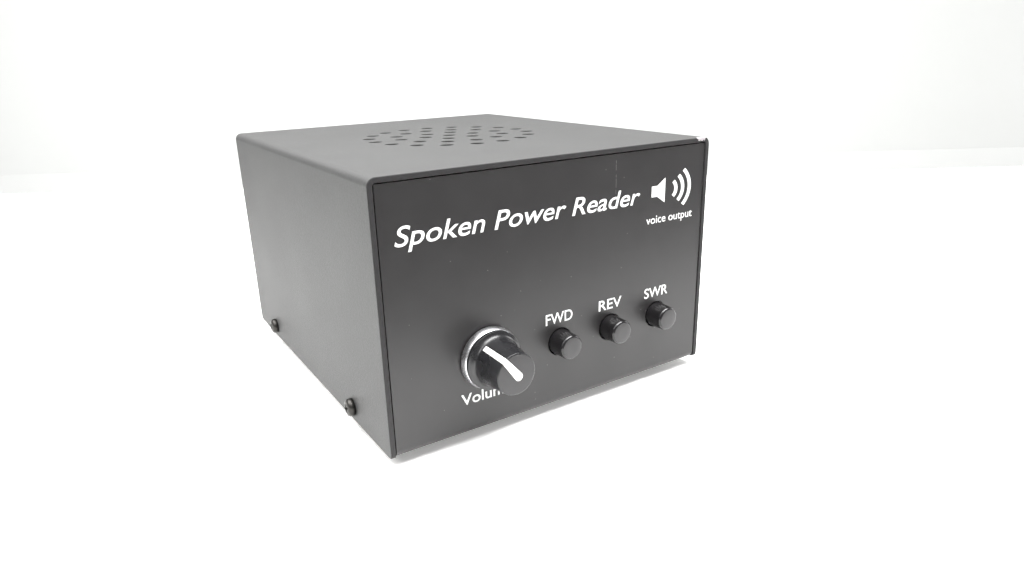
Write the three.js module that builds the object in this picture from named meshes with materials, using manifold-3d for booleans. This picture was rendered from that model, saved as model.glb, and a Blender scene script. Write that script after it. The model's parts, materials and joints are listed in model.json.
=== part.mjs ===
// Talking RF power meter: a desktop instrument that speaks its readings through a loudspeaker in its top.
//
// Millimetres, +Z up, +X to the right and the front panel facing -Y. The case is drawn from its own corner
// (y = 0 at the cover's front edge, z = 0 at its lower edge, x = 0 in the middle). The whole group is then moved
// so that the origin lies on the table under the middle of the object.

import * as THREE from "three";
import { mergeVertices } from "three/addons/utils/BufferGeometryUtils.js";
import Module from "manifold-3d";

const wasm = await Module();
wasm.setup();

// ---------------------------------------------------------------- driving dimensions

const INCH = 25.4;

// Case
const CASE_WIDTH = 5 * INCH;
const CASE_DEPTH = 145.7;
const CASE_HEIGHT = 83.4;
const SHEET = 1.6; // thickness of the steel of the cover and the chassis
const COVER_BEND = 2.5; // outside radius
const CHASSIS_BEND = 2.4;
const COVER_GAP = 0.3; // between the cover and the chassis
const PANEL_RECESS = 0.3; // front and rear panels lie this far inside the cover's ends
const FLANGE_HEIGHT = 11; // upturned sides of the base, which take the cover screws

// Loudspeaker grille: rings of holes round one in the middle
const GRILLE_PITCH = 0.4 * INCH;
const GRILLE_RINGS = 3;
const GRILLE_HOLE = 4.8;
const GRILLE_SIDES = 12;

// Fasteners: shaft diameter, shaft length, head diameter, head height
const COVER_SCREW = { shaft: 3, length: 6, head: 6, height: 2.4, sides: 16 };
const BASE_SCREW = { shaft: 3, length: 4.4, head: 5.6, height: 1.9, sides: 12 };
const COVER_SCREW_Y = [30, 119.2];
const COVER_SCREW_Z = 4.9;

// Feet
const FOOT = { top: 12.6, bottom: 10.6, height: 3.5 };
const FOOT_X = 50;
const FOOT_INSET = 13;

// Controls on the front panel
const KNOB_X = -29.1;
const KNOB_Z = 24.4;
const KNOB_LENGTH = 16;
const KNOB_SKIRT = 9.5; // radius
const KNOB_RING = 10;
const KNOB_LIFT = 0.5; // gap to the panel
const POINTER_ANGLE = 128; // degrees from +X, seen from the front
const POINTER_WIDTH = 2.2;
const BUTTON_X = [-1.5, 19.85, 41.2];
const BUTTON_Z = 22.4;
const BUTTON_LENGTH = 6.8;
const BUTTON_BASE = 4.45; // radius
const BUTTON_HOLE = 4.75;
const SHAFT = 3; // radius of the volume control's shaft
const BUSHING = 3.5;

// Boards
const BOARD = 1.6;
const FRONT_BOARD_Y = 10; // behind the front panel's face
const MAIN_BOARD = { width: 108, from: 14.5, to: 140.5, lift: 6 };
const STANDOFF_X = 49;
const STANDOFF_Y = [26, 120];

// Rear sockets
const SENSOR_JACK = { x: 20, width: 13.2, height: 13, depth: 17, proud: 0.6 };
const DC_JACK = { x: -34, z: 22, barrel: 4, bore: 2.9, depth: 11, proud: 2.8 };

// Loudspeaker
const SPEAKER_FLANGE = 77;
const SPEAKER_STUD = 33.5; // its weld studs lie this far from its centre in x and in y
const STUD_RADIUS = 1.5;
const SPEAKER_DEPTH = 22;
const SPEAKER_MOUTH = 34; // radius of the hole in its flange
const MAGNET = { radius: 22.5, height: 11 };
const SPEAKER_SIDES = 24;

const BEND_STEPS = 3; // facets in half of a sheet-metal bend
const GAP = 0.3; // between a piece and a hole that it passes through
const SEAT = 0.05; // between two pieces that are clamped together

// ---------------------------------------------------------------- derived places

const HALF_WIDTH = CASE_WIDTH / 2;
const CHASSIS_HALF = HALF_WIDTH - SHEET - COVER_GAP;
const CHASSIS_TOP = CASE_HEIGHT - SHEET - COVER_GAP;
const FRONT_FACE = PANEL_RECESS;
const REAR_FACE = CASE_DEPTH - PANEL_RECESS;
const ROOF = CASE_HEIGHT - SHEET; // underside of the cover's top
const MIDDLE_Y = CASE_DEPTH / 2;
const BOARD_Z = SHEET + MAIN_BOARD.lift; // underside of the main board
const BOARD_TOP = BOARD_Z + BOARD;
const FOREMOST = FRONT_FACE - KNOB_LENGTH;
const HINDMOST = REAR_FACE + DC_JACK.proud;

// ---------------------------------------------------------------- solids

// A closed geometry as a solid that can be joined and cut.
function solid(geometry) {
  const bare = geometry.clone();
  bare.deleteAttribute("normal");
  bare.deleteAttribute("uv");
  const merged = mergeVertices(bare, 1e-4);
  return new wasm.Manifold(
    new wasm.Mesh({
      numProp: 3,
      vertProperties: merged.attributes.position.array,
      triVerts: new Uint32Array(merged.index.array),
    }),
  );
}

function geometryOf(body) {
  const mesh = body.getMesh();
  const geometry = new THREE.BufferGeometry();
  geometry.setAttribute("position", new THREE.BufferAttribute(mesh.vertProperties, 3));
  geometry.setIndex(new THREE.BufferAttribute(mesh.triVerts, 1));
  geometry.computeVertexNormals();
  return geometry;
}

const join = (first, ...others) => others.reduce((sum, other) => sum.add(other), first);
const cut = (first, ...others) => others.reduce((rest, other) => rest.subtract(other), first);

// A box between two values on each axis.
function block([x0, x1], [y0, y1], [z0, z1]) {
  const box = new THREE.BoxGeometry(x1 - x0, y1 - y0, z1 - z0);
  return solid(box.translate((x0 + x1) / 2, (y0 + y1) / 2, (z0 + z1) / 2));
}

// Turns a geometry made along +Y to lie along another axis.
function alongAxis(geometry, axis) {
  if (axis === "x") geometry.rotateZ(-Math.PI / 2);
  if (axis === "z") geometry.rotateX(Math.PI / 2);
  return geometry;
}

// A round rod on an axis, from one value to the other, through the point at.
function rod(axis, radius, from, to, at = [0, 0, 0], sides = 16) {
  const cylinder = new THREE.CylinderGeometry(radius, radius, to - from, sides);
  return solid(alongAxis(cylinder.translate(0, (from + to) / 2, 0), axis).translate(...at));
}

// A profile of [radius, height] points turned about an axis.
function turned(profile, axis = "y", sides = 24) {
  const points = profile.map(([radius, height]) => new THREE.Vector2(radius, height));
  return solid(alongAxis(new THREE.LatheGeometry(points, sides), axis));
}

function drawnOut(shape, depth) {
  return new THREE.ExtrudeGeometry(shape, { depth, bevelEnabled: false, curveSegments: BEND_STEPS });
}

// A shape drawn in x and z, drawn out along y.
function drawnAlongY(shape, from, to) {
  const geometry = drawnOut(shape, to - from);
  return solid(geometry.rotateX(Math.PI / 2).translate(0, to, 0));
}

// A shape drawn in y and z, drawn out along x.
function drawnAlongX(shape, from, to) {
  const turn = new THREE.Matrix4().makeBasis(
    new THREE.Vector3(0, 1, 0),
    new THREE.Vector3(0, 0, 1),
    new THREE.Vector3(1, 0, 0),
  );
  return solid(drawnOut(shape, to - from).applyMatrix4(turn).translate(from, 0, 0));
}

function hexPrism(acrossFlats, axis, from, to, at = [0, 0, 0]) {
  return rod(axis, acrossFlats / Math.sqrt(3), from, to, at, 6);
}

// ---------------------------------------------------------------- finishes and pieces

const finishes = {
  texturedBlack: { color: 0x1c1c1c, roughness: 0.75, metalness: 0.1 },
  satinBlack: { color: 0x201f1e, roughness: 0.45, metalness: 0.1 },
  blackOxide: { color: 0x161616, roughness: 0.4, metalness: 0.8 },
  glossBlack: { color: 0x121212, roughness: 0.2, metalness: 0 },
  blackPlastic: { color: 0x191919, roughness: 0.55, metalness: 0 },
  whitePlastic: { color: 0xf2f2ee, roughness: 0.5, metalness: 0 },
  bright: { color: 0xd4d4d6, roughness: 0.18, metalness: 1 },
  zinc: { color: 0xb8bcc0, roughness: 0.35, metalness: 0.9 },
  brass: { color: 0xc2a14d, roughness: 0.35, metalness: 0.9 },
  aluminium: { color: 0xb4b6b8, roughness: 0.4, metalness: 0.9 },
  rubber: { color: 0x1a1a1a, roughness: 0.9, metalness: 0 },
  board: { color: 0x1d4a2c, roughness: 0.4, metalness: 0 },
  ferrite: { color: 0x2c2c2e, roughness: 0.7, metalness: 0.2 },
  paperCone: { color: 0x24221f, roughness: 0.95, metalness: 0 },
  felt: { color: 0x151515, roughness: 1, metalness: 0 },
  wire: { color: 0x8c1f1a, roughness: 0.5, metalness: 0 },
};

const instrument = new THREE.Group();

// Adds one named piece to a group.
function piece(name, finish, shape, group = instrument) {
  const geometry = shape.isBufferGeometry ? shape : geometryOf(shape);
  const mesh = new THREE.Mesh(geometry, new THREE.MeshStandardMaterial(finishes[finish]));
  mesh.name = name;
  group.add(mesh);
  return mesh;
}

// A group whose own origin lies on the front panel's face.
function panelGroup(x, z) {
  const group = new THREE.Group();
  group.position.set(x, FRONT_FACE, z);
  instrument.add(group);
  return group;
}

// ---------------------------------------------------------------- cover

function grilleHoles() {
  const holes = [[0, 0]];
  for (let ring = 1; ring <= GRILLE_RINGS; ring++) {
    for (let i = 0; i < 6 * ring; i++) {
      const angle = (i * Math.PI) / (3 * ring);
      holes.push([ring * GRILLE_PITCH * Math.cos(angle), ring * GRILLE_PITCH * Math.sin(angle)]);
    }
  }
  return holes;
}

function coverShell() {
  const inner = HALF_WIDTH - SHEET;
  const bendX = HALF_WIDTH - COVER_BEND;
  const bendZ = CASE_HEIGHT - COVER_BEND;
  const outline = new THREE.Shape();
  outline.moveTo(-HALF_WIDTH, 0);
  outline.lineTo(-HALF_WIDTH, bendZ);
  outline.absarc(-bendX, bendZ, COVER_BEND, Math.PI, Math.PI / 2, true);
  outline.absarc(bendX, bendZ, COVER_BEND, Math.PI / 2, 0, true);
  outline.lineTo(HALF_WIDTH, 0);
  outline.lineTo(inner, 0);
  outline.absarc(bendX, bendZ, COVER_BEND - SHEET, 0, Math.PI / 2, false);
  outline.absarc(-bendX, bendZ, COVER_BEND - SHEET, Math.PI / 2, Math.PI, false);
  outline.lineTo(-inner, 0);
  return drawnAlongY(outline, 0, CASE_DEPTH);
}

const studPlaces = [-1, 1].flatMap((sx) =>
  [-1, 1].map((sy) => [sx * SPEAKER_STUD, MIDDLE_Y + sy * SPEAKER_STUD, 0]),
);

function cover() {
  const grille = grilleHoles().map(([x, y]) =>
    rod("z", GRILLE_HOLE / 2, ROOF - 1, CASE_HEIGHT + 1, [x, MIDDLE_Y + y, 0], GRILLE_SIDES),
  );
  const screwHoles = COVER_SCREW_Y.map((y) =>
    rod("x", COVER_SCREW.shaft / 2 + GAP, -HALF_WIDTH - 1, HALF_WIDTH + 1, [0, y, COVER_SCREW_Z]),
  );
  const studs = studPlaces.map((at) => rod("z", STUD_RADIUS, ROOF - 7, ROOF + SHEET / 2, at, 12));
  return join(cut(coverShell(), ...grille, ...screwHoles), ...studs);
}

piece("cover", "texturedBlack", cover());

// ---------------------------------------------------------------- chassis

// The strip that is bent up into front panel, base and rear panel, seen from the side.
function chassisStrip() {
  const bend = CHASSIS_BEND;
  const inside = bend - SHEET;
  const strip = new THREE.Shape();
  strip.moveTo(FRONT_FACE, CHASSIS_TOP);
  strip.lineTo(FRONT_FACE, bend);
  strip.absarc(FRONT_FACE + bend, bend, bend, Math.PI, 1.5 * Math.PI, false);
  strip.absarc(REAR_FACE - bend, bend, bend, 1.5 * Math.PI, 2 * Math.PI, false);
  strip.lineTo(REAR_FACE, CHASSIS_TOP);
  strip.lineTo(REAR_FACE - SHEET, CHASSIS_TOP);
  strip.absarc(REAR_FACE - bend, bend, inside, 2 * Math.PI, 1.5 * Math.PI, true);
  strip.absarc(FRONT_FACE + bend, bend, inside, 1.5 * Math.PI, Math.PI, true);
  strip.lineTo(FRONT_FACE + SHEET, CHASSIS_TOP);
  return drawnAlongX(strip, -CHASSIS_HALF, CHASSIS_HALF);
}

const standoffPlaces = [-1, 1].flatMap((side) => STANDOFF_Y.map((y) => [side * STANDOFF_X, y]));

function chassis() {
  const flangeEnds = [FOOT_INSET - 5, CASE_DEPTH - FOOT_INSET + 5];
  const flanges = [
    block([-CHASSIS_HALF, -CHASSIS_HALF + SHEET], flangeEnds, [0, FLANGE_HEIGHT]),
    block([CHASSIS_HALF - SHEET, CHASSIS_HALF], flangeEnds, [0, FLANGE_HEIGHT]),
  ];
  const frontHole = (x, z, radius) => rod("y", radius, -1, FRONT_FACE + SHEET + 1, [x, 0, z], 24);
  const panelHoles = [
    frontHole(KNOB_X, KNOB_Z, BUSHING + GAP),
    ...BUTTON_X.map((x) => frontHole(x, BUTTON_Z, BUTTON_HOLE)),
  ];
  const rearSpan = [REAR_FACE - SHEET - 1, REAR_FACE + 1];
  const jackHalf = SENSOR_JACK.width / 2 + GAP;
  const rearHoles = [
    rod("y", DC_JACK.barrel + GAP, ...rearSpan, [DC_JACK.x, 0, DC_JACK.z], 20),
    block(
      [SENSOR_JACK.x - jackHalf, SENSOR_JACK.x + jackHalf],
      rearSpan,
      [BOARD_TOP, BOARD_TOP + SENSOR_JACK.height + GAP],
    ),
  ];
  const screwHoles = COVER_SCREW_Y.map((y) =>
    rod("x", COVER_SCREW.shaft / 2 + GAP, -HALF_WIDTH, HALF_WIDTH, [0, y, COVER_SCREW_Z]),
  );
  const baseHoles = standoffPlaces.map(([x, y]) =>
    rod("z", BASE_SCREW.shaft / 2 + GAP, -1, SHEET + 1, [x, y, 0]),
  );
  return cut(join(chassisStrip(), ...flanges), ...panelHoles, ...rearHoles, ...screwHoles, ...baseHoles);
}

piece("chassis", "satinBlack", chassis());

// ---------------------------------------------------------------- fasteners and feet

// A pan-head screw along +Y, its head's underside at 0. The cross recess is left out of the hidden ones.
function panScrew({ shaft, length, head, height, sides }, recessed = true) {
  const r = head / 2;
  const body = turned(
    [
      [0, -length],
      [shaft / 2, -length],
      [shaft / 2, SEAT],
      [r, SEAT],
      [r, height * 0.5],
      [r * 0.8, height * 0.88],
      [0, height],
    ],
    "y",
    sides,
  );
  if (!recessed) return geometryOf(body);
  const arm = head * 0.27;
  const slot = head * 0.075;
  const depth = [height * 0.4, height + 1];
  const recess = join(block([-arm, arm], depth, [-slot, slot]), block([-slot, slot], depth, [-arm, arm]));
  return geometryOf(cut(body, recess));
}

const coverScrew = panScrew(COVER_SCREW);
[-1, 1].forEach((side) =>
  COVER_SCREW_Y.forEach((y, i) => {
    const place = `${side < 0 ? "left" : "right"}_${i === 0 ? "front" : "rear"}`;
    const screw = piece(`cover_screw_${place}`, "blackOxide", coverScrew);
    screw.position.set(side * HALF_WIDTH, y, COVER_SCREW_Z);
    screw.rotation.z = -side * (Math.PI / 2);
  }),
);

const baseScrew = panScrew(BASE_SCREW);
const boardScrew = panScrew(BASE_SCREW, false);
const hexStandoff = geometryOf(
  cut(
    hexPrism(5.5, "z", SHEET + SEAT, BOARD_Z - SEAT),
    rod("z", BASE_SCREW.shaft / 2 + GAP, 0, BOARD_Z + 1, [0, 0, 0], 12),
  ),
);
standoffPlaces.forEach(([x, y], i) => {
  const lower = piece(`base_screw_${i + 1}`, "blackOxide", baseScrew);
  lower.position.set(x, y, 0);
  lower.rotation.x = -Math.PI / 2;
  piece(`standoff_${i + 1}`, "brass", hexStandoff).position.set(x, y, 0);
  const upper = piece(`board_screw_${i + 1}`, "zinc", boardScrew);
  upper.position.set(x, y, BOARD_TOP);
  upper.rotation.x = Math.PI / 2;
});

const footProfile = [
  [0, -FOOT.height],
  [FOOT.bottom / 2 - 0.6, -FOOT.height],
  [FOOT.bottom / 2, -FOOT.height + 0.6],
  [FOOT.top / 2, -SEAT],
  [0, -SEAT],
];
const footShape = geometryOf(turned(footProfile, "z", 20));
[-1, 1].forEach((side) =>
  [FOOT_INSET, CASE_DEPTH - FOOT_INSET].forEach((y, i) => {
    const name = `foot_${side < 0 ? "left" : "right"}_${i === 0 ? "front" : "rear"}`;
    piece(name, "rubber", footShape).position.set(side * FOOT_X, y, 0);
  }),
);

// ---------------------------------------------------------------- volume control

const KNOB_SEGMENTS = 28;
const KNOB_HOLLOW = { radius: 6.4, depth: 5 }; // room for the nut behind the knob
const KNOB_NECK = { radius: 7.5, at: 6.2 }; // where the concave skirt meets the tapered body
const KNOB_TIP = 6.55;
const RING_WIDTH = 2.5;

// The outside of the knob from its front to its skirt, moved outwards by grow.
function knobOutside(grow = 0) {
  const skirtFront = -(KNOB_LIFT + RING_WIDTH + 1.2);
  const neck = -KNOB_NECK.at;
  const fillet = KNOB_SKIRT - KNOB_NECK.radius;
  const points = [
    [0, -KNOB_LENGTH - grow],
    [KNOB_TIP - 0.45 + grow, -KNOB_LENGTH - grow],
    [KNOB_TIP + grow, 0.4 - KNOB_LENGTH - grow],
  ];
  for (let i = 0; i <= 4; i++) {
    const angle = (i * Math.PI) / 8;
    points.push([
      KNOB_NECK.radius + fillet * (1 - Math.cos(angle)) + grow,
      neck + (skirtFront - neck) * Math.sin(angle),
    ]);
  }
  return points;
}

function knobBody() {
  const seat = KNOB_RING - 0.9 - GAP; // the ring is pressed over this part of the skirt
  const back = -KNOB_LIFT;
  return turned(
    [
      ...knobOutside(),
      [KNOB_SKIRT, back - RING_WIDTH - 0.1],
      [seat, back - RING_WIDTH - 0.1],
      [seat, back],
      [KNOB_HOLLOW.radius, back],
      [KNOB_HOLLOW.radius, -KNOB_HOLLOW.depth],
      [SHAFT + 0.2, -KNOB_HOLLOW.depth],
      [SHAFT + 0.2, -KNOB_LENGTH + 2.6],
      [0, -KNOB_LENGTH + 2.6],
    ],
    "y",
    KNOB_SEGMENTS,
  );
}

// Everything between two surfaces parallel to the knob's front and sides.
function knobSkin(inside, outside) {
  const full = (grow) =>
    turned([...knobOutside(grow), [KNOB_SKIRT + grow, 0], [0, 0]], "y", KNOB_SEGMENTS);
  return cut(full(outside), full(-inside));
}

// The bar that the pointer follows: from just past the knob's middle out to its edge, and back to the skirt.
function pointerBar(grow) {
  const half = POINTER_WIDTH / 2 + grow;
  const start = -2.5;
  const depth = [-KNOB_LENGTH - 2, -KNOB_NECK.at + grow];
  const bar = join(
    block([start, KNOB_SKIRT + 1], depth, [-half, half]),
    rod("y", half, ...depth, [start, 0, 0], 16),
  );
  return bar.rotate([0, -POINTER_ANGLE, 0]);
}

const control = panelGroup(KNOB_X, KNOB_Z);
piece("knob", "glossBlack", cut(knobBody(), knobSkin(0.9, 1).intersect(pointerBar(GAP))), control);
piece("knob_pointer", "whitePlastic", knobSkin(0.6, 0.1).intersect(pointerBar(0)), control);
piece(
  "knob_ring",
  "bright",
  turned(
    [
      [KNOB_RING - 0.9, -KNOB_LIFT - RING_WIDTH],
      [KNOB_RING - 0.3, -KNOB_LIFT - RING_WIDTH],
      [KNOB_RING, -KNOB_LIFT - RING_WIDTH + 0.3],
      [KNOB_RING, -KNOB_LIFT],
      [KNOB_RING - 0.9, -KNOB_LIFT],
      [KNOB_RING - 0.9, -KNOB_LIFT - RING_WIDTH],
    ],
    "y",
    KNOB_SEGMENTS,
  ),
  control,
);
piece("pot_shaft", "aluminium", rod("y", SHAFT, -KNOB_LENGTH + 3, 8.4, [0, 0, 0], 20), control);

const potBody = turned(
  [
    [0, 9],
    [SHAFT + 0.2, 9],
    [SHAFT + 0.2, -4.2],
    [BUSHING, -4.2],
    [BUSHING, SHEET + SEAT],
    [8, SHEET + SEAT],
    [8, 9.8],
    [0, 9.8],
  ],
  "y",
  20,
);
piece("pot_body", "zinc", potBody, control);
const bushingHole = (from, to) => rod("y", BUSHING + GAP, from, to, [0, 0, 0], 16);
piece("pot_washer", "zinc", cut(rod("y", 6, -0.6, -SEAT, [0, 0, 0], 20), bushingHole(-1, 1)), control);
piece("pot_nut", "zinc", cut(hexPrism(10, "y", -2.7, -0.65), bushingHole(-3, 0)), control);

// ---------------------------------------------------------------- push buttons and their switches

const BUTTON_FLANGE = { radius: 5.7, from: SHEET + GAP, to: SHEET + GAP + 1.2 };
const PLUNGER = 1.9; // radius
const SWITCH = { half: 6, front: 6, hole: 2.5 };

function buttonCap() {
  const tip = BUTTON_BASE - 0.35;
  return turned(
    [
      [0, -BUTTON_LENGTH],
      [tip - 0.8, -BUTTON_LENGTH + 0.1],
      [tip - 0.2, -BUTTON_LENGTH + 0.4],
      [tip, -BUTTON_LENGTH + 1],
      [BUTTON_BASE, 0],
      [BUTTON_BASE, BUTTON_FLANGE.from],
      [BUTTON_FLANGE.radius, BUTTON_FLANGE.from],
      [BUTTON_FLANGE.radius, BUTTON_FLANGE.to],
      [PLUNGER + GAP, BUTTON_FLANGE.to],
      [PLUNGER + GAP, BUTTON_FLANGE.to - 2],
      [0, BUTTON_FLANGE.to - 2],
    ],
    "y",
    20,
  );
}

const switchBody = cut(
  block([-SWITCH.half, SWITCH.half], [SWITCH.front, FRONT_BOARD_Y - SEAT], [-SWITCH.half, SWITCH.half]),
  rod("y", PLUNGER + GAP, SWITCH.front - 1, SWITCH.front + SWITCH.hole),
);
const capShape = geometryOf(buttonCap());
const plungerSpan = [BUTTON_FLANGE.to - 1.7, SWITCH.front + 1.2];
const plungerShape = geometryOf(rod("y", PLUNGER, ...plungerSpan, [0, 0, 0], 12));
const switchShape = geometryOf(switchBody);

["fwd", "rev", "swr"].forEach((reading, i) => {
  const group = panelGroup(BUTTON_X[i], BUTTON_Z);
  piece(`${reading}_button`, "glossBlack", capShape, group);
  piece(`${reading}_plunger`, "whitePlastic", plungerShape, group);
  piece(`${reading}_switch`, "blackPlastic", switchShape, group);
});

// ---------------------------------------------------------------- circuit boards

const frontBoardY = [FRONT_FACE + FRONT_BOARD_Y, FRONT_FACE + FRONT_BOARD_Y + BOARD];
piece("front_board", "board", block([-44, 52], frontBoardY, [BOARD_Z - 2, 40]));
piece(
  "board_header",
  "blackPlastic",
  block([-15, 15], [frontBoardY[1] + SEAT, frontBoardY[1] + 7], [BOARD_TOP + SEAT, BOARD_TOP + 2.6]),
);
piece(
  "main_board",
  "board",
  cut(
    block(
      [-MAIN_BOARD.width / 2, MAIN_BOARD.width / 2],
      [MAIN_BOARD.from, MAIN_BOARD.to],
      [BOARD_Z, BOARD_TOP],
    ),
    ...standoffPlaces.map(([x, y]) => rod("z", BASE_SCREW.shaft / 2 + GAP, 0, BOARD_TOP + 1, [x, y, 0], 12)),
  ),
);

// A chip in a dual in-line case, its length along y.
function inlineChip(x, y, pins, width) {
  const pitch = INCH / 10;
  const length = (pins / 2) * pitch;
  const reach = width / 2 + 0.5; // each leg crosses under the body and stands out on both sides
  const legs = [];
  for (let i = 0; i < pins / 2; i++) {
    const at = y + (i + 0.5) * pitch - length / 2;
    legs.push(block([x - reach, x + reach], [at - 0.3, at + 0.3], [BOARD_TOP + SEAT, BOARD_TOP + 2.1]));
  }
  const body = block(
    [x - width / 2, x + width / 2],
    [y - length / 2, y + length / 2],
    [BOARD_TOP + 0.2, BOARD_TOP + 3.9],
  );
  return join(body, ...legs);
}

piece("microcontroller", "blackPlastic", inlineChip(-6, 58, 28, 7));
piece("speech_chip", "blackPlastic", inlineChip(16, 58, 28, 13.5));
piece("amplifier_chip", "blackPlastic", inlineChip(38, 52, 8, 6.4));

// A round aluminium can with a groove near its foot.
function canCapacitor(x, y, radius, height) {
  const base = BOARD_TOP + SEAT;
  return turned(
    [
      [0, base],
      [radius, base],
      [radius, base + 1.2],
      [radius - 0.4, base + 1.7],
      [radius, base + 2.2],
      [radius, base + height - 0.4],
      [radius - 0.4, base + height],
      [0, base + height],
    ],
    "z",
    16,
  ).translate([x, y, 0]);
}

piece("filter_capacitor", "aluminium", canCapacitor(-36, 108, 6.5, 21));

// A regulator standing on its legs, bolted flat against a finned heat sink.
function regulator(x, y) {
  const z = BOARD_TOP + 4;
  const tab = cut(
    block([x - 5, x + 5], [y - 0.65, y + 0.65], [z, z + 15.5]),
    rod("y", 1.8, y - 2, y + 2, [x, 0, z + 12.6], 12),
  );
  const body = block([x - 5, x + 5], [y - 3.8, y], [z, z + 9]);
  const legs = [-2.54, 0, 2.54].map((dx) =>
    block([x + dx - 0.4, x + dx + 0.4], [y - 2.6, y - 2.1], [BOARD_TOP + SEAT, z + 1]),
  );
  return join(tab, body, ...legs);
}

function heatSink(x, y) {
  const z = [BOARD_TOP + SEAT, BOARD_TOP + 25];
  const fins = [-11, -6.6, -2.2, 2.2, 6.6, 11].map((dx) =>
    block([x + dx - 0.7, x + dx + 0.7], [y, y + 9], z),
  );
  return join(block([x - 11.7, x + 11.7], [y, y + 2], z), ...fins);
}

const REGULATOR = { x: -30, y: 86, tab: 1.3 };
piece("regulator", "blackPlastic", regulator(REGULATOR.x, REGULATOR.y));
piece("heat_sink", "aluminium", heatSink(REGULATOR.x, REGULATOR.y + REGULATOR.tab / 2 + SEAT));

// ---------------------------------------------------------------- loudspeaker under the grille

const FLANGE_TOP = ROOF - 1.1;
const FLANGE_BASE = FLANGE_TOP - 1;
const BASKET_BASE = FLANGE_BASE - SPEAKER_DEPTH;
const speaker = new THREE.Group();
speaker.position.set(0, MIDDLE_Y, 0);
instrument.add(speaker);

function speakerFrame() {
  const half = SPEAKER_FLANGE / 2;
  const plate = cut(
    block([-half, half], [-half, half], [FLANGE_BASE, FLANGE_TOP]),
    rod("z", SPEAKER_MOUTH, FLANGE_BASE - 1, FLANGE_TOP + 1, [0, 0, 0], SPEAKER_SIDES),
    ...studPlaces.map(([x, y]) =>
      rod("z", STUD_RADIUS + GAP, FLANGE_BASE - 1, FLANGE_TOP + 1, [x, y - MIDDLE_Y, 0], 12),
    ),
  );
  const basket = turned(
    [
      [9, BASKET_BASE],
      [23, BASKET_BASE],
      [SPEAKER_MOUTH + 1, FLANGE_BASE - 8],
      [SPEAKER_MOUTH + 1, FLANGE_TOP],
      [SPEAKER_MOUTH, FLANGE_TOP],
      [SPEAKER_MOUTH, FLANGE_BASE - 8],
      [22.4, BASKET_BASE + 1],
      [9, BASKET_BASE + 1],
      [9, BASKET_BASE],
    ],
    "z",
    SPEAKER_SIDES,
  );
  const window = [BASKET_BASE + 4, FLANGE_BASE - 9];
  return cut(join(plate, basket), block([-9, 9], [-40, 40], window), block([-40, 40], [-9, 9], window));
}

piece("speaker_frame", "zinc", speakerFrame(), speaker);
const magnetSpan = [BASKET_BASE - MAGNET.height, BASKET_BASE - SEAT];
const magnet = rod("z", MAGNET.radius, ...magnetSpan, [0, 0, 0], SPEAKER_SIDES);
piece("speaker_magnet", "ferrite", magnet, speaker);
piece(
  "speaker_cone",
  "paperCone",
  turned(
    [
      [0, BASKET_BASE + 11],
      [7, BASKET_BASE + 9],
      [9.4, BASKET_BASE + 6.4],
      [29.6, FLANGE_BASE - 0.7],
      [31.3, FLANGE_BASE + 0.9],
      [33.4, FLANGE_BASE],
      [33.4, FLANGE_BASE + 0.6],
      [31.3, FLANGE_BASE + 1.5],
      [29.2, FLANGE_BASE],
      [9.6, BASKET_BASE + 7.4],
      [7.4, BASKET_BASE + 9.6],
      [0, BASKET_BASE + 11.6],
    ],
    "z",
    24,
  ),
  speaker,
);
const gasket = cut(
  rod("z", SPEAKER_FLANGE / 2 - 0.7, FLANGE_TOP + SEAT, ROOF - SEAT, [0, 0, 0], SPEAKER_SIDES),
  rod("z", SPEAKER_MOUTH - 0.4, FLANGE_TOP - 1, ROOF + 1, [0, 0, 0], SPEAKER_SIDES),
);
piece("speaker_gasket", "felt", gasket, speaker);
const studNut = geometryOf(
  cut(
    hexPrism(5.5, "z", FLANGE_BASE - 2.4, FLANGE_BASE - SEAT),
    rod("z", STUD_RADIUS + GAP, FLANGE_BASE - 3, FLANGE_BASE, [0, 0, 0], 12),
  ),
);
studPlaces.forEach(([x, y], i) => piece(`speaker_nut_${i + 1}`, "zinc", studNut).position.set(x, y, 0));

// The twin lead from the basket down to the main board, clear of everything between.
function speakerLead() {
  const route = new THREE.CatmullRomCurve3(
    [
      [-31.5, 84, FLANGE_BASE - 14],
      [-38, 84, FLANGE_BASE - 17],
      [-45, 82, FLANGE_BASE - 26],
      [-48, 78, 40],
      [-47, 74, 25],
      [-42, 71, 17],
      [-41, 70.5, BOARD_TOP + 0.7],
    ].map((point) => new THREE.Vector3(...point)),
  );
  const section = new THREE.Shape().absarc(0, 0, 1.2, 0, 2 * Math.PI, false);
  return new THREE.ExtrudeGeometry(section, { steps: 24, extrudePath: route, curveSegments: 4 });
}

piece("speaker_lead", "wire", solid(speakerLead()));

// ---------------------------------------------------------------- sockets in the rear panel

function sensorJack() {
  const { x, width, height, depth, proud } = SENSOR_JACK;
  const back = REAR_FACE + proud;
  const base = BOARD_TOP + SEAT;
  const body = block([x - width / 2, x + width / 2], [back - depth, back], [base, base + height]);
  const mouth = block([x - 5, x + 5], [back - 12, back + 1], [base + 3.6, base + 10.6]);
  const latchWay = block([x - 3.2, x + 3.2], [back - 8, back + 1], [base + 1.6, base + 4]);
  return cut(body, mouth, latchWay);
}

piece("sensor_jack", "blackPlastic", sensorJack());

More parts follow.
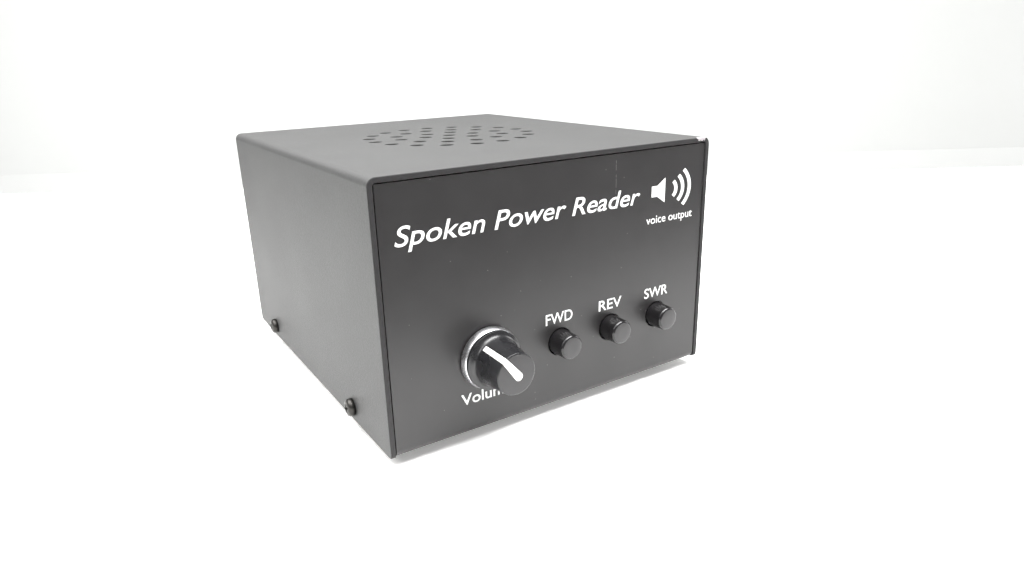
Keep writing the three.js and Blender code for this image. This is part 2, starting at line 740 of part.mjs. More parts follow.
const dcSocket = new THREE.Group();
dcSocket.position.set(DC_JACK.x, REAR_FACE, DC_JACK.z);
instrument.add(dcSocket);
const inner = -SHEET - SEAT;
const dcBody = turned(
  [
    [0, -DC_JACK.depth],
    [5.5, -DC_JACK.depth],
    [5.5, inner],
    [DC_JACK.barrel, inner],
    [DC_JACK.barrel, DC_JACK.proud],
    [DC_JACK.bore, DC_JACK.proud],
    [DC_JACK.bore, 1.5 - DC_JACK.depth],
    [0, 1.5 - DC_JACK.depth],
  ],
  "y",
  20,
);
piece("dc_jack", "blackPlastic", dcBody, dcSocket);
piece("dc_pin", "bright", rod("y", 1, 1.5 - DC_JACK.depth + SEAT, 0.5, [0, 0, 0], 12), dcSocket);
const dcNut = cut(hexPrism(11, "y", SEAT, 2), rod("y", DC_JACK.barrel + GAP, -1, 3, [0, 0, 0], 20));
piece("dc_nut", "bright", dcNut, dcSocket);

// ---------------------------------------------------------------- the whole instrument on its table

instrument.position.set(0, -(FOREMOST + HINDMOST) / 2, FOOT.height);
const meter = new THREE.Group();
meter.add(instrument);

export default meter;
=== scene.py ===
# %% [markdown]
# # A talking power meter, from sheet steel to studio
#
# This lesson dresses a small desktop instrument: a black steel case with a loudspeaker grille in its
# roof, a volume knob and three push buttons. The sizes come from a CAD model that is already in place, so
# the first step loads that model as a fixed frame. Each visible part is then rebuilt with rounded edges
# and a real finish, and each inner part keeps its CAD shape and gets a material.

# %% Load the frame
import json
import math

import bmesh
import bpy
from mathutils import Matrix, Vector


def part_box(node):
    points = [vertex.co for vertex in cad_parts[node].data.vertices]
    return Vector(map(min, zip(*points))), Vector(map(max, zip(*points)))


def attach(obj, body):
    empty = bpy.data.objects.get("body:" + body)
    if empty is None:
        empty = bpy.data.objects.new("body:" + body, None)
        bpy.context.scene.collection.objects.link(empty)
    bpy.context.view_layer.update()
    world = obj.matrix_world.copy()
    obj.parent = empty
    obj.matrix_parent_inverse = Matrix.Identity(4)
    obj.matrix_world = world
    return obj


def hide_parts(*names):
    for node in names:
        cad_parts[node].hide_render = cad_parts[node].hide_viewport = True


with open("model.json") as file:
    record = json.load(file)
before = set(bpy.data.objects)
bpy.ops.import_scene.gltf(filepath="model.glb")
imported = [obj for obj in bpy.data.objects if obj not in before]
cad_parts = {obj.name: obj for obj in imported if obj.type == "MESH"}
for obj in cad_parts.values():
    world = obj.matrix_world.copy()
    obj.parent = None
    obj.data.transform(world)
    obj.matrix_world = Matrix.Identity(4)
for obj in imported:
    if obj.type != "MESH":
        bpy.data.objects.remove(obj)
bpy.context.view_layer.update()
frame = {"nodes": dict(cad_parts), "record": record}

nodes = frame["nodes"]

# %% [markdown]
# ## Measures
#
# Blender works in metres and a case like this is drawn in millimetres, so one constant carries the
# change. Everything else is read from the frame: the cover's box gives the case's corners, and the front
# of the chassis gives the plane that the knob, the buttons and the printing stand on.

# %% Read the case's corners
MM = 0.001
SHEET = 1.6 * MM  # thickness of the steel
cover_low, cover_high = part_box("cover")
chassis_low, chassis_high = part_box("chassis")
front = cover_low.y
rear = cover_high.y
base = cover_low.z
roof = cover_high.z
side = cover_high.x
panel = chassis_low.y  # face of the front panel
back_panel = chassis_high.y
middle = Vector((0, (front + rear) / 2, (base + roof) / 2))
print("case", [round(length / MM, 1) for length in (2 * side, rear - front, roof - base)], "mm")

# %% [markdown]
# ## The camera
#
# The picture is taken from the front left and a little above, with a short lens held close, which is what
# makes the front corner so tall and the back so small. The camera comes first because every choice of
# detail depends on what it can see. Its place is given from the middle of the case's front lower edge.

# %% Stand the camera
CAMERA_PLACE = Vector((-129.2, -171, 113.1)) * MM
VIEW_TURN = math.radians(-32.58)  # the same turn sets the backdrop square to the view
VIEW_DOWN = math.radians(18.6)
VIEW_ROLL = math.radians(-1.56)
camera_data = bpy.data.cameras.new("camera")
camera_data.lens = 24.65
camera_data.sensor_width = 36
camera_data.clip_start = 0.01
camera = bpy.data.objects.new("camera", camera_data)
bpy.context.scene.collection.objects.link(camera)
camera.matrix_world = (
    Matrix.Translation(Vector((0, front, base)) + CAMERA_PLACE)
    @ Matrix.Rotation(VIEW_TURN, 4, "Z")
    @ Matrix.Rotation(math.pi / 2 - VIEW_DOWN, 4, "X")
    @ Matrix.Rotation(VIEW_ROLL, 4, "Z")
)
bpy.context.scene.camera = camera
print("camera at", [round(c, 3) for c in camera.location])

# %% [markdown]
# ## A small language for materials
#
# A procedural material is arithmetic on a few patterns. Writing it as node calls hides that arithmetic,
# so this class wraps a node's output and turns Python's own operators into Math nodes. `0.5 + mask * 2`
# then means what it says. Sums and products also work with the number on the left.

# %% Wrap a socket so that it can be added and multiplied
class Value:
    """One output of a node, for sums and products on numbers."""

    def __init__(self, shader, socket):
        self.shader = shader
        self.socket = socket

    def math(self, operation, first, second):
        return self.shader.node("ShaderNodeMath", {"operation": operation}, {0: first, 1: second})

    def __add__(self, other):
        return self.math("ADD", self, other)

    def __sub__(self, other):
        return self.math("SUBTRACT", self, other)

    def __mul__(self, other):
        return self.math("MULTIPLY", self, other)

    def __lt__(self, other):
        return self.math("LESS_THAN", self, other)

    def __gt__(self, other):
        return self.math("GREATER_THAN", self, other)

    def __abs__(self):
        return self.math("ABSOLUTE", self, 0.0)

    __radd__ = __add__
    __rmul__ = __mul__


print("operators ready: + - * < > abs")

# %% [markdown]
# The second class holds one material. Its `node` method makes any node: settings first, because they can
# change which sockets there are, and then the sockets' values or links. The patterns that most finishes
# share, such as noise at a size given in millimetres, get a line each, and `dress` closes the material.

# %% Hold one material and its patterns
class Shader:
    """A material under construction. Patterns are read from object coordinates, in metres."""

    def __init__(self, name):
        self.material = bpy.data.materials.new(name)
        self.material.use_nodes = True
        self.tree = self.material.node_tree
        self.tree.nodes.clear()
        self.place = self.node("ShaderNodeTexCoord", output="Object")

    def node(self, kind, settings=None, inputs=None, output=0):
        made = self.tree.nodes.new(kind)
        for name, value in (settings or {}).items():
            if name == "stops":
                self.set_stops(made.color_ramp, value)
            else:
                setattr(made, name, value)
        for key, value in (inputs or {}).items():
            if isinstance(value, Value):
                self.tree.links.new(value.socket, made.inputs[key])
            else:
                made.inputs[key].default_value = value
        return Value(self, made.outputs[output])

    def set_stops(self, ramp, stops):
        while len(ramp.elements) < len(stops):
            ramp.elements.new(1)
        for element, (position, colour) in zip(ramp.elements, stops):
            element.position = position
            element.color = (*colour, 1) if isinstance(colour, tuple) else (colour, colour, colour, 1)

    def stretched(self, scale, centre=(0, 0, 0)):
        """Object coordinates measured from a centre and scaled along each axis."""
        moved = self.node(
            "ShaderNodeVectorMath", {"operation": "SUBTRACT"}, {0: self.place, 1: tuple(centre)}
        )
        return self.node("ShaderNodeVectorMath", {"operation": "MULTIPLY"}, {0: moved, 1: scale})

    def noise(self, size, detail=2.0, vector=None, roughness=0.5):
        """Soft noise from 0 to 1 whose features are about size metres across."""
        inputs = {"Scale": 1 / size, "Detail": detail, "Roughness": roughness}
        return self.node("ShaderNodeTexNoise", inputs={"Vector": vector or self.place, **inputs})

    def cells(self, size, output="Distance", randomness=1.0):
        inputs = {"Vector": self.place, "Scale": 1 / size, "Randomness": randomness}
        return self.node("ShaderNodeTexVoronoi", inputs=inputs, output=output)

    def ramp(self, value, *stops):
        """A number made from another through stops of (position, number)."""
        return self.node("ShaderNodeValToRGB", {"stops": stops}, {"Fac": value})

    def mix(self, amount, first, second):
        """A colour between two colours, which are tuples or other mixes."""
        colour = [value if isinstance(value, Value) else (*value, 1) for value in (first, second)]
        return self.node(
            "ShaderNodeMix", {"data_type": "RGBA"}, {0: amount, 6: colour[0], 7: colour[1]}, output=2
        )

    def axes(self):
        """The three coordinates of a place, as numbers."""
        source = {"Vector": self.place}
        return [self.node("ShaderNodeSeparateXYZ", inputs=source, output=i) for i in range(3)]

    def distance(self, centre, scale=(1, 1, 1)):
        """Distance from a point, with each axis weighted."""
        away = self.stretched(scale, centre)
        return self.node("ShaderNodeVectorMath", {"operation": "LENGTH"}, {0: away}, output="Value")

    def specks(self, size, share, spread=0.05):
        """Tiny round grains: 1 on a grain, 0 between. share is the part of the cells that hold one."""
        chosen = self.node("ShaderNodeSeparateColor", inputs={0: self.cells(size, "Color")})
        return (self.cells(size) < spread) * (chosen < share)

    def bump(self, height, distance, strength=1.0, under=None):
        """A normal from a height pattern. distance is the real height of the bumps in metres."""
        inputs = {"Height": height, "Distance": distance, "Strength": strength}
        if under is not None:
            inputs["Normal"] = under
        return self.node("ShaderNodeBump", inputs=inputs)

    def dress(self, **inputs):
        """Ends the material in a Principled shader with these sockets."""
        named = {name.replace("_", " "): value for name, value in inputs.items()}
        for name, value in named.items():
            if isinstance(value, tuple) and len(value) == 3:
                named[name] = (*value, 1)
        surface = self.node("ShaderNodeBsdfPrincipled", inputs=named, output="BSDF")
        end = self.tree.nodes.new("ShaderNodeOutputMaterial")
        self.tree.links.new(surface.socket, end.inputs["Surface"])
        return self.material


print("shader language ready")

# %% [markdown]
# ## The cover's finish: fine textured powder coat
#
# Powder coat melts into a skin of soft pebbles, each a good half millimetre across. They are far too many
# to model, so they are a bump, and they also scatter the light: the coat looks matt straight on and pale
# at a low angle. Two noises of different sizes keep the pebbles from looking stamped. A broad, faint
# third one moves the roughness, as handling does. The front edge is darker and duller, and one corner is
# chipped.

# %% Textured paint
CHIP_AT = Vector((side - 4 * MM, front + 0.4 * MM, roof - 0.3 * MM))
CHIP_SIZE = 0.85 * MM
CHIP_STRETCH = (0.42, 1.0, 1.0)  # below 1 makes the chip longer along that axis
EDGE_DEPTH = 0.3 * MM


def textured_paint():
    paint = Shader("cover_paint")
    pebbles = paint.noise(0.62 * MM, detail=2.5)
    grain = paint.noise(0.2 * MM, detail=1)
    handling = paint.noise(38 * MM, detail=3)
    ragged = paint.distance(CHIP_AT, CHIP_STRETCH) + (paint.noise(0.9 * MM) - 0.5) * 1.2 * MM
    chip = ragged < CHIP_SIZE
    dust = paint.specks(2.6 * MM, 0.05)
    coat = paint.mix(pebbles, (0.014, 0.014, 0.0138), (0.054, 0.054, 0.0535))
    coat = paint.mix(dust * 0.55, coat, (0.42, 0.42, 0.4))
    x, y, z = paint.axes()
    # the cover's front edge, to EDGE_DEPTH behind it, gets a darker and duller colour
    darker_front_edge = y < (front + EDGE_DEPTH)
    coat = paint.mix(darker_front_edge, coat, (0.012, 0.011, 0.0118))
    colour = paint.mix(chip, coat, (0.66, 0.62, 0.64))
    roughness = 0.48 + handling * 0.1 + pebbles * 0.06 - chip * 0.25 + darker_front_edge * 0.15
    relief = paint.bump(pebbles + grain * 0.45 - chip * 1.5, 0.085 * MM, 1.0)
    return paint.dress(
        Base_Color=colour, Roughness=roughness, Metallic=chip * 0.85, Normal=relief, Specular_IOR_Level=0.5
    )


cover_paint = textured_paint()
print("cover_paint has", len(cover_paint.node_tree.nodes), "nodes")

# %% [markdown]
# ## The panel's finish: smooth satin paint
#
# The front panel was sprayed with a smoother paint that takes the printing cleanly. Its interest is in
# what it carries: a faint orange peel, grains of dust, a mottle that moves shade and gloss together, and
# one broken hairline scratch that runs down near the top edge.

# %% Satin paint
SCRATCH_X = 21.3 * MM
SCRATCH_Z = (roof - 15 * MM, roof - 4 * MM)
SCRATCH_HALF = 0.055 * MM


def satin_paint():
    paint = Shader("panel_paint")
    peel = paint.noise(0.7 * MM, detail=2)
    mottle = paint.noise(9 * MM, detail=4, roughness=0.6)
    x, y, z = paint.axes()
    wander = (paint.noise(7 * MM) - 0.5) * 0.5 * MM
    on_front = y < (panel + 0.1 * MM)
    line = (abs(x + wander - SCRATCH_X) < SCRATCH_HALF) * (z > SCRATCH_Z[0]) * (z < SCRATCH_Z[1])
    scratch = line * (paint.noise(1.6 * MM) > 0.5) * on_front
    dust = paint.specks(2.4 * MM, 0.3)
    coat = paint.mix(mottle, (0.0145, 0.0135, 0.014), (0.02, 0.0187, 0.0193))
    coat = paint.mix(dust * 0.4, coat, (0.4, 0.39, 0.37))
    colour = paint.mix(scratch * 0.5, coat, (0.3, 0.3, 0.29))
    roughness = 0.36 + mottle * 0.12 + scratch * 0.1
    relief = paint.bump(peel + dust * 0.6, 0.012 * MM, 0.7)
    return paint.dress(Base_Color=colour, Roughness=roughness, Normal=relief)


panel_paint = satin_paint()
print("panel_paint has", len(panel_paint.node_tree.nodes), "nodes")

# %% [markdown]
# ## Moulded plastics
#
# The knob and the buttons come out of polished moulds and shine, while sockets and chips come out of
# blasted ones and don't. One function serves both: the grain's size and height say how the mould was
# finished, and a slow noise wears the shine unevenly. The white ink of the printing is made here too.

# %% Plastics
def moulded(name, colour, roughness, grain=0.3 * MM, height=0.004 * MM, wear=0.1, dusty=0.04):
    plastic = Shader(name)
    fine = plastic.noise(grain, detail=2)
    slow = plastic.noise(6 * MM, detail=3)
    dust = plastic.specks(1.9 * MM, dusty)
    lighter = tuple(min(1.0, channel * 1.5 + 0.004) for channel in colour)
    shade = plastic.mix(slow, colour, lighter)
    shade = plastic.mix(dust * 0.4, shade, (0.45, 0.44, 0.42))
    return plastic.dress(
        Base_Color=shade,
        Roughness=roughness + slow * wear + dust * 0.2,
        Normal=plastic.bump(fine, height, 0.6),
    )


knob_black = moulded("knob_black", (0.009, 0.009, 0.01), 0.2, wear=0.16, dusty=0.08)
knob_face = moulded("knob_face", (0.02, 0.019, 0.02), 0.4, grain=0.15 * MM, height=0.01 * MM)
button_black = moulded("button_black", (0.006, 0.0055, 0.006), 0.14, wear=0.1)
button_face = moulded("button_face", (0.022, 0.021, 0.022), 0.4, grain=0.15 * MM, height=0.01 * MM)
moulded_black = moulded("moulded_black", (0.016, 0.016, 0.017), 0.48, grain=0.2 * MM, height=0.015 * MM)
plunger_white = moulded("plunger_white", (0.62, 0.61, 0.56), 0.4)
marking_white = moulded("marking_white", (0.68, 0.68, 0.655), 0.5, wear=0.08, dusty=0.0)
ink_white = moulded("ink_white", (0.56, 0.56, 0.555), 0.6, grain=0.2 * MM, wear=0.1, dusty=0.0)
print("plastics ready")

# %% [markdown]
# ## Metals
#
# Turned and plated metal keeps the marks of its making as very fine lines. The lines are a noise squeezed
# along the direction of the cut. They move the roughness more than they move the colour, and that is what
# draws the streaked highlights.

# %% Metals
def metal(name, colour, roughness, squeeze=(1, 1, 1), line=0.25 * MM, spots=0.0):
    shader = Shader(name)
    lines = shader.noise(line, detail=3, vector=shader.stretched(squeeze))
    cloud = shader.noise(3 * MM, detail=3)
    tarnish = shader.ramp(cloud, (0.45, 0.0), (0.75, 1.0))
    darker = tuple(channel * 0.72 for channel in colour)
    shade = shader.mix(tarnish * 0.5 + lines * 0.2, colour, darker)
    shade = shader.mix(shader.specks(1.2 * MM, 0.08) * spots, shade, (0.12, 0.1, 0.08))
    return shader.dress(
        Base_Color=shade,
        Metallic=1.0,
        Roughness=roughness + lines * 0.14 + tarnish * 0.1,
        Normal=shader.bump(lines, 0.006 * MM, 0.5),
    )


ring_bright = metal("ring_bright", (0.86, 0.86, 0.88), 0.2, squeeze=(1, 6, 1))
socket_nickel = metal("socket_nickel", (0.5, 0.49, 0.46), 0.24, squeeze=(1, 4, 1), spots=0.4)
zinc_plate = metal("zinc_plate", (0.66, 0.67, 0.68), 0.3, spots=0.3)
aluminium_plain = metal("aluminium_plain", (0.74, 0.75, 0.76), 0.3, squeeze=(1, 1, 5))
standoff_brass = metal("standoff_brass", (0.72, 0.52, 0.24), 0.25, squeeze=(1, 1, 6))
contact_gold = metal("contact_gold", (0.86, 0.62, 0.26), 0.18, squeeze=(5, 1, 1))
screw_black = metal("screw_black", (0.055, 0.053, 0.05), 0.32, spots=0.2)
print("metals ready")

# %% [markdown]
# ## Rubber, boards and the rest of the inside
#
# The feet are moulded rubber with a bloom of fine dust. A circuit board is glass cloth under green
# lacquer, with copper tracks that show as paler, slightly raised bands: a brick pattern gives tracks that
# run in steps, and a voronoi pattern gives the soldered joints, at the usual pitch of a tenth of an inch.
# The loudspeaker has a paper cone with pressed fibres, a ground ferrite magnet and a felt gasket.

# %% Feet, boards and loudspeaker
def rubber():
    shader = Shader("rubber_black")
    grain = shader.noise(0.25 * MM, detail=2)
    bloom = shader.ramp(shader.noise(4 * MM, detail=4), (0.4, 0.0), (0.8, 1.0))
    shade = shader.mix(bloom, (0.018, 0.018, 0.018), (0.06, 0.058, 0.055))
    return shader.dress(
        Base_Color=shade, Roughness=0.72 + bloom * 0.15, Normal=shader.bump(grain, 0.02 * MM, 0.7)
    )


PIN_PITCH = 2.54  # millimetres


def laminate():
    shader = Shader("board_green")
    tracks = shader.node(
        "ShaderNodeTexBrick",
        {"offset": 0.5},
        {
            "Vector": shader.stretched((1 / MM, 1 / MM, 1 / MM)),
            "Color1": (0, 0, 0, 1),
            "Color2": (0, 0, 0, 1),
            "Mortar": (1, 1, 1, 1),
            "Scale": 1.0,
            "Mortar Size": 0.35,
            "Brick Width": 7.0,
            "Row Height": PIN_PITCH,
        },
    )
    joints = shader.cells(PIN_PITCH * MM, randomness=0.2) < 0.2
    weave = shader.noise(0.5 * MM)
    lacquer = shader.mix(tracks, (0.008, 0.075, 0.028), (0.02, 0.15, 0.055))
    shade = shader.mix(joints, lacquer, (0.6, 0.6, 0.6))
    return shader.dress(
        Base_Color=shade,
        Metallic=joints * 0.9,
        Roughness=0.28 + weave * 0.1,
        Normal=shader.bump(tracks * 0.6 + joints + weave * 0.1, 0.05 * MM, 0.8),
    )


def fibrous(name, dark, light, roughness, size, height):
    shader = Shader(name)
    fibres = shader.noise(size, detail=4, roughness=0.7)
    pressed = shader.noise(size * 9, detail=2)
    return shader.dress(
        Base_Color=shader.mix(fibres, dark, light),
        Roughness=roughness + pressed * 0.1,
        Normal=shader.bump(fibres + pressed, height, 0.8),
    )


rubber_black = rubber()
board_green = laminate()
cone_paper = fibrous(
    "cone_paper", (0.02, 0.019, 0.018), (0.05, 0.047, 0.042),
    roughness=0.8, size=0.5 * MM, height=0.05 * MM,
)
gasket_felt = fibrous(
    "gasket_felt", (0.008, 0.008, 0.008), (0.025, 0.025, 0.025),
    roughness=0.9, size=0.3 * MM, height=0.1 * MM,
)
magnet_ferrite = fibrous(
    "magnet_ferrite", (0.04, 0.04, 0.044), (0.09, 0.09, 0.095),
    roughness=0.5, size=0.35 * MM, height=0.02 * MM,
)
lead_insulation = fibrous(
    "lead_insulation", (0.2, 0.012, 0.01), (0.3, 0.02, 0.015),
    roughness=0.45, size=0.8 * MM, height=0.01 * MM,
)
print("inner finishes ready")

# %% [markdown]
# ## Every CAD node gets its finish
#
# The record names a material slot for each node. Each slot is matched to a finish made above, so a node
# that stays as it is, such as a circuit board, is dressed here. The visible ones are rebuilt further on
# and hide their node.

# %% Dress the CAD nodes
finishes = {
    "cover_paint": cover_paint,
    "panel_paint": panel_paint,
    "screw_black": screw_black,
    "rubber_black": rubber_black,
    "knob_black": knob_black,
    "ring_bright": ring_bright,
    "marking_white": marking_white,
    "button_black": button_black,
    "plunger_white": plunger_white,
    "moulded_black": moulded_black,
    "board_green": board_green,
    "zinc_plate": zinc_plate,
    "standoff_brass": standoff_brass,
    "aluminium_plain": aluminium_plain,
    "magnet_ferrite": magnet_ferrite,
    "cone_paper": cone_paper,
    "gasket_felt": gasket_felt,
    "lead_insulation": lead_insulation,
    "socket_nickel": socket_nickel,
}
for entry in frame["record"]["subparts"]:
    slots = nodes[entry["node"]].data.materials
    finish = finishes[entry["material_slot"]]
    if slots:
        slots[0] = finish
    else:
        slots.append(finish)

# %% [markdown]
# ## Workshop: from bmesh to a finished piece
#
# Every piece is shaped in a bmesh and closed the same way: doubles are merged, the faces are turned
# outwards, and the mesh is given to an object that rides on its CAD body. Smooth shading needs help next
# to flat steel, so a Weighted Normal modifier lets the large faces keep their flat look while the small
# rounded ones blend.

# %% Settle a bmesh into a piece
MERGE = 1e-7  # metres; two points closer than this are one


def settle(bm, name, materials, body, stands_for=()):
    bmesh.ops.remove_doubles(bm, verts=bm.verts, dist=MERGE)
    bmesh.ops.recalc_face_normals(bm, faces=bm.faces)
    for face in bm.faces:
        face.smooth = True
    mesh = bpy.data.meshes.new(name)
    bm.to_mesh(mesh)
    bm.free()
    piece = bpy.data.objects.new(name, mesh)
    bpy.context.scene.collection.objects.link(piece)
    for material in materials:
        mesh.materials.append(material)
    even = piece.modifiers.new("even_shading", "WEIGHTED_NORMAL")
    even.keep_sharp = True
    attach(piece, body)
    if stands_for:
        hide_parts(*stands_for)
    return piece


def soften(bm, width, segments=3, chosen=lambda edge: True, sharper_than=35):
    """Rounds the sharp edges of a shape."""
    limit = math.radians(sharper_than)
    edges = [e for e in bm.edges if len(e.link_faces) == 2 and e.calc_face_angle(0) > limit and chosen(e)]
    bmesh.ops.bevel(
        bm,
        geom=edges,
        offset=width,
        offset_type="OFFSET",
        affect="EDGES",
        segments=segments,
        profile=0.5,
        material=-1,
        clamp_overlap=True,
    )
    return len(edges)


print("workshop ready")

# %% [markdown]
# ## Bending sheet steel
#
# Cover and chassis are each one strip of sheet, bent twice. A strip starts as a chain of corner points,
# drawn along the third axis. Its corner edges are rounded with a bevel as wide as the bend, and solidify
# then gives it the sheet's thickness inwards. Holes are cut with a boolean.

# %% Bend a strip
def bent_strip(corners, along, radius, segments=8):
    """Corner points joined by flat sheet, drawn out along a vector, with rounded bends."""
    bm = bmesh.new()
    points = [bm.verts.new(corner) for corner in corners]
    chain = [bm.edges.new(pair) for pair in zip(points, points[1:])]
    drawn = bmesh.ops.extrude_edge_only(bm, edges=chain)
    moved = [item for item in drawn["geom"] if isinstance(item, bmesh.types.BMVert)]
    bmesh.ops.translate(bm, verts=moved, vec=along)
    bmesh.ops.recalc_face_normals(bm, faces=bm.faces)
    folds = [e for e in bm.edges if len(e.link_faces) == 2]
    bmesh.ops.bevel(
        bm, geom=folds, offset=radius, offset_type="OFFSET", affect="EDGES",
        segments=segments, profile=0.5, material=-1,
    )
    return bm


def thicken(bm, inwards):
    """Gives the sheet its thickness on the side where the point inwards lies."""
    faces = list(bm.faces)
    widest = max(faces, key=lambda face: face.calc_area())
    faces_in = (inwards - widest.calc_center_median()).dot(widest.normal) > 0
    if faces_in:
        bmesh.ops.reverse_faces(bm, faces=faces)
    bmesh.ops.solidify(bm, geom=faces, thickness=SHEET)


def bored(piece_mesh, cutters, name):
    """The mesh with a mesh of cutters taken out of it."""
    work = bpy.data.objects.new(name + "_blank", piece_mesh)
    tool = bpy.data.objects.new(name + "_cutters", cutters)
    for item in (work, tool):
        bpy.context.scene.collection.objects.link(item)
    drill = work.modifiers.new("drill", "BOOLEAN")
    drill.operation = "DIFFERENCE"
    drill.solver = "EXACT"
    drill.object = tool
    bpy.context.view_layer.update()
    result = bpy.data.meshes.new_from_object(work.evaluated_get(bpy.context.evaluated_depsgraph_get()))
    for item in (work, tool):
        bpy.data.objects.remove(item)
    bm = bmesh.new()
    bm.from_mesh(result)
    return bm


def drill_bit(bm, centre, radius, reach, axis="z", sides=32):
    """Adds a cylinder to a bmesh of cutters, through centre along an axis."""
    quarter = math.pi / 2
    turn = {"z": Matrix(), "x": Matrix.Rotation(quarter, 4, "Y"), "y": Matrix.Rotation(quarter, 4, "X")}
    bmesh.ops.create_cone(
        bm, cap_ends=True, segments=sides, radius1=radius, radius2=radius, depth=2 * reach,
        matrix=Matrix.Translation(centre) @ turn[axis],
    )


def as_mesh(bm, name):
    mesh = bpy.data.meshes.new(name)
    bm.to_mesh(mesh)
    bm.free()
    return mesh


print("sheet tools ready")

# %% [markdown]
# ## The cover
#
# A U of sheet over the top and both sides, bent to a small radius. Its grille is a ring pattern: one hole
# in the middle and six more holes in each ring than in the one inside it, so the spacing stays even. The
# sheet's outer corners are rounded first. After the drilling, the holes' rims and the sheet's ends are
# rounded a little, because powder coat fills a sharp edge and leaves it soft.

# %% Cover
COVER_BEND = 2.5 * MM
COVER_CORNER = 1.5 * MM
GRILLE_PITCH = 10.16 * MM
GRILLE_HOLE = 2.4 * MM  # radius, as for every hole below
SCREW_HOLE = 1.8 * MM
THROUGH_SHEET = 4 * MM  # how far a bit reaches to each side
THROUGH_FLANGE = 9 * MM  # far enough for the sheet and the flange behind it
FLAT_ANGLE = 0.002  # radians; faces within this are one flat face
screw_nodes = [name for name in nodes if name.startswith("cover_screw")]


def centre_of(node):
    low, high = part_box(node)
    return (low + high) / 2


def grille_places():
    places = [Vector((0, 0, 0))]
    for ring in (1, 2, 3):
        for i in range(6 * ring):
            angle = i * math.pi / (3 * ring)
            places.append(Vector((math.cos(angle), math.sin(angle), 0)) * ring * GRILLE_PITCH)
    return places


def build_cover():
    bm = bent_strip(
        [(-side, front, base), (-side, front, roof), (side, front, roof), (side, front, base)],
        (0, rear - front, 0),
        COVER_BEND,
    )
    corners = [v for v in bm.verts if len(v.link_edges) == 2]
    bmesh.ops.bevel(bm, geom=corners, offset=COVER_CORNER, affect="VERTICES", segments=4, profile=0.5)
    thicken(bm, middle)
    bmesh.ops.recalc_face_normals(bm, faces=bm.faces)
    cutters = bmesh.new()
    for place in grille_places():
        drill_bit(cutters, Vector((0, middle.y, roof)) + place, GRILLE_HOLE, THROUGH_SHEET)
    for name in screw_nodes:
        drill_bit(cutters, centre_of(name), SCREW_HOLE, THROUGH_FLANGE, "x")
    bm = bored(as_mesh(bm, "cover_blank"), as_mesh(cutters, "cover_cutters"), "cover")
    bmesh.ops.dissolve_limit(bm, angle_limit=FLAT_ANGLE, verts=bm.verts, edges=bm.edges)
    rounded = soften(bm, 0.22 * MM, 2, sharper_than=60)
    piece = settle(bm, "cover_shell", [cover_paint], "case", ["cover"])
    print("cover:", len(piece.data.polygons), "faces,", rounded, "edges rounded")
    return piece


build_cover()

# %% [markdown]
# ## The chassis
#
# The second strip makes the front panel, the base and the rear panel. The base also turns up at both
# sides into low flanges that take the cover screws. Those start as two cuts across the base, so that the
# flanges stop short of the bends, and are extruded from its side edges before the sheet gets its
# thickness.

# %% Chassis
CHASSIS_BEND = 2.4 * MM
FLANGE = 11 * MM
FLANGE_STOP = 8 * MM  # from the case's front and rear to the ends of the flanges
BUTTON_HOLE = 4.75 * MM
SHAFT_HOLE = 3.8 * MM
POWER_HOLE = 4.3 * MM
SOCKET_GAP = 0.6 * MM  # the socket's cut-out is wider and higher than the socket by this
chassis_top = chassis_high.z
chassis_side = chassis_high.x
knob_low, knob_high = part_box("knob_ring")
knob_axis = Vector(((knob_low.x + knob_high.x) / 2, panel, (knob_low.z + knob_high.z) / 2))
readings = ("fwd", "rev", "swr")
button_axes = {}
for name in readings:
    spot = centre_of(name + "_button")
    button_axes[name] = Vector((spot.x, panel, spot.z))
jack_low, jack_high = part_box("sensor_jack")
power = centre_of("dc_pin")


def turn_up_flanges(bm):
    for y in (front + FLANGE_STOP, rear - FLANGE_STOP):
        whole = [*bm.verts, *bm.edges, *bm.faces]
        bmesh.ops.bisect_plane(bm, geom=whole, plane_co=(0, y, 0), plane_no=(0, 1, 0))
    near = FLANGE_STOP - 1 * MM
    for x in (-chassis_side, chassis_side):
        edges = [
            e for e in bm.edges
            if all(abs(v.co.x - x) < 1e-6 and abs(v.co.z - base) < 1e-6 for v in e.verts)
            and front + near < (e.verts[0].co.y + e.verts[1].co.y) / 2 < rear - near
        ]
        grown = bmesh.ops.extrude_edge_only(bm, edges=edges)
        moved = [item for item in grown["geom"] if isinstance(item, bmesh.types.BMVert)]
        bmesh.ops.translate(bm, verts=moved, vec=(0, 0, FLANGE))


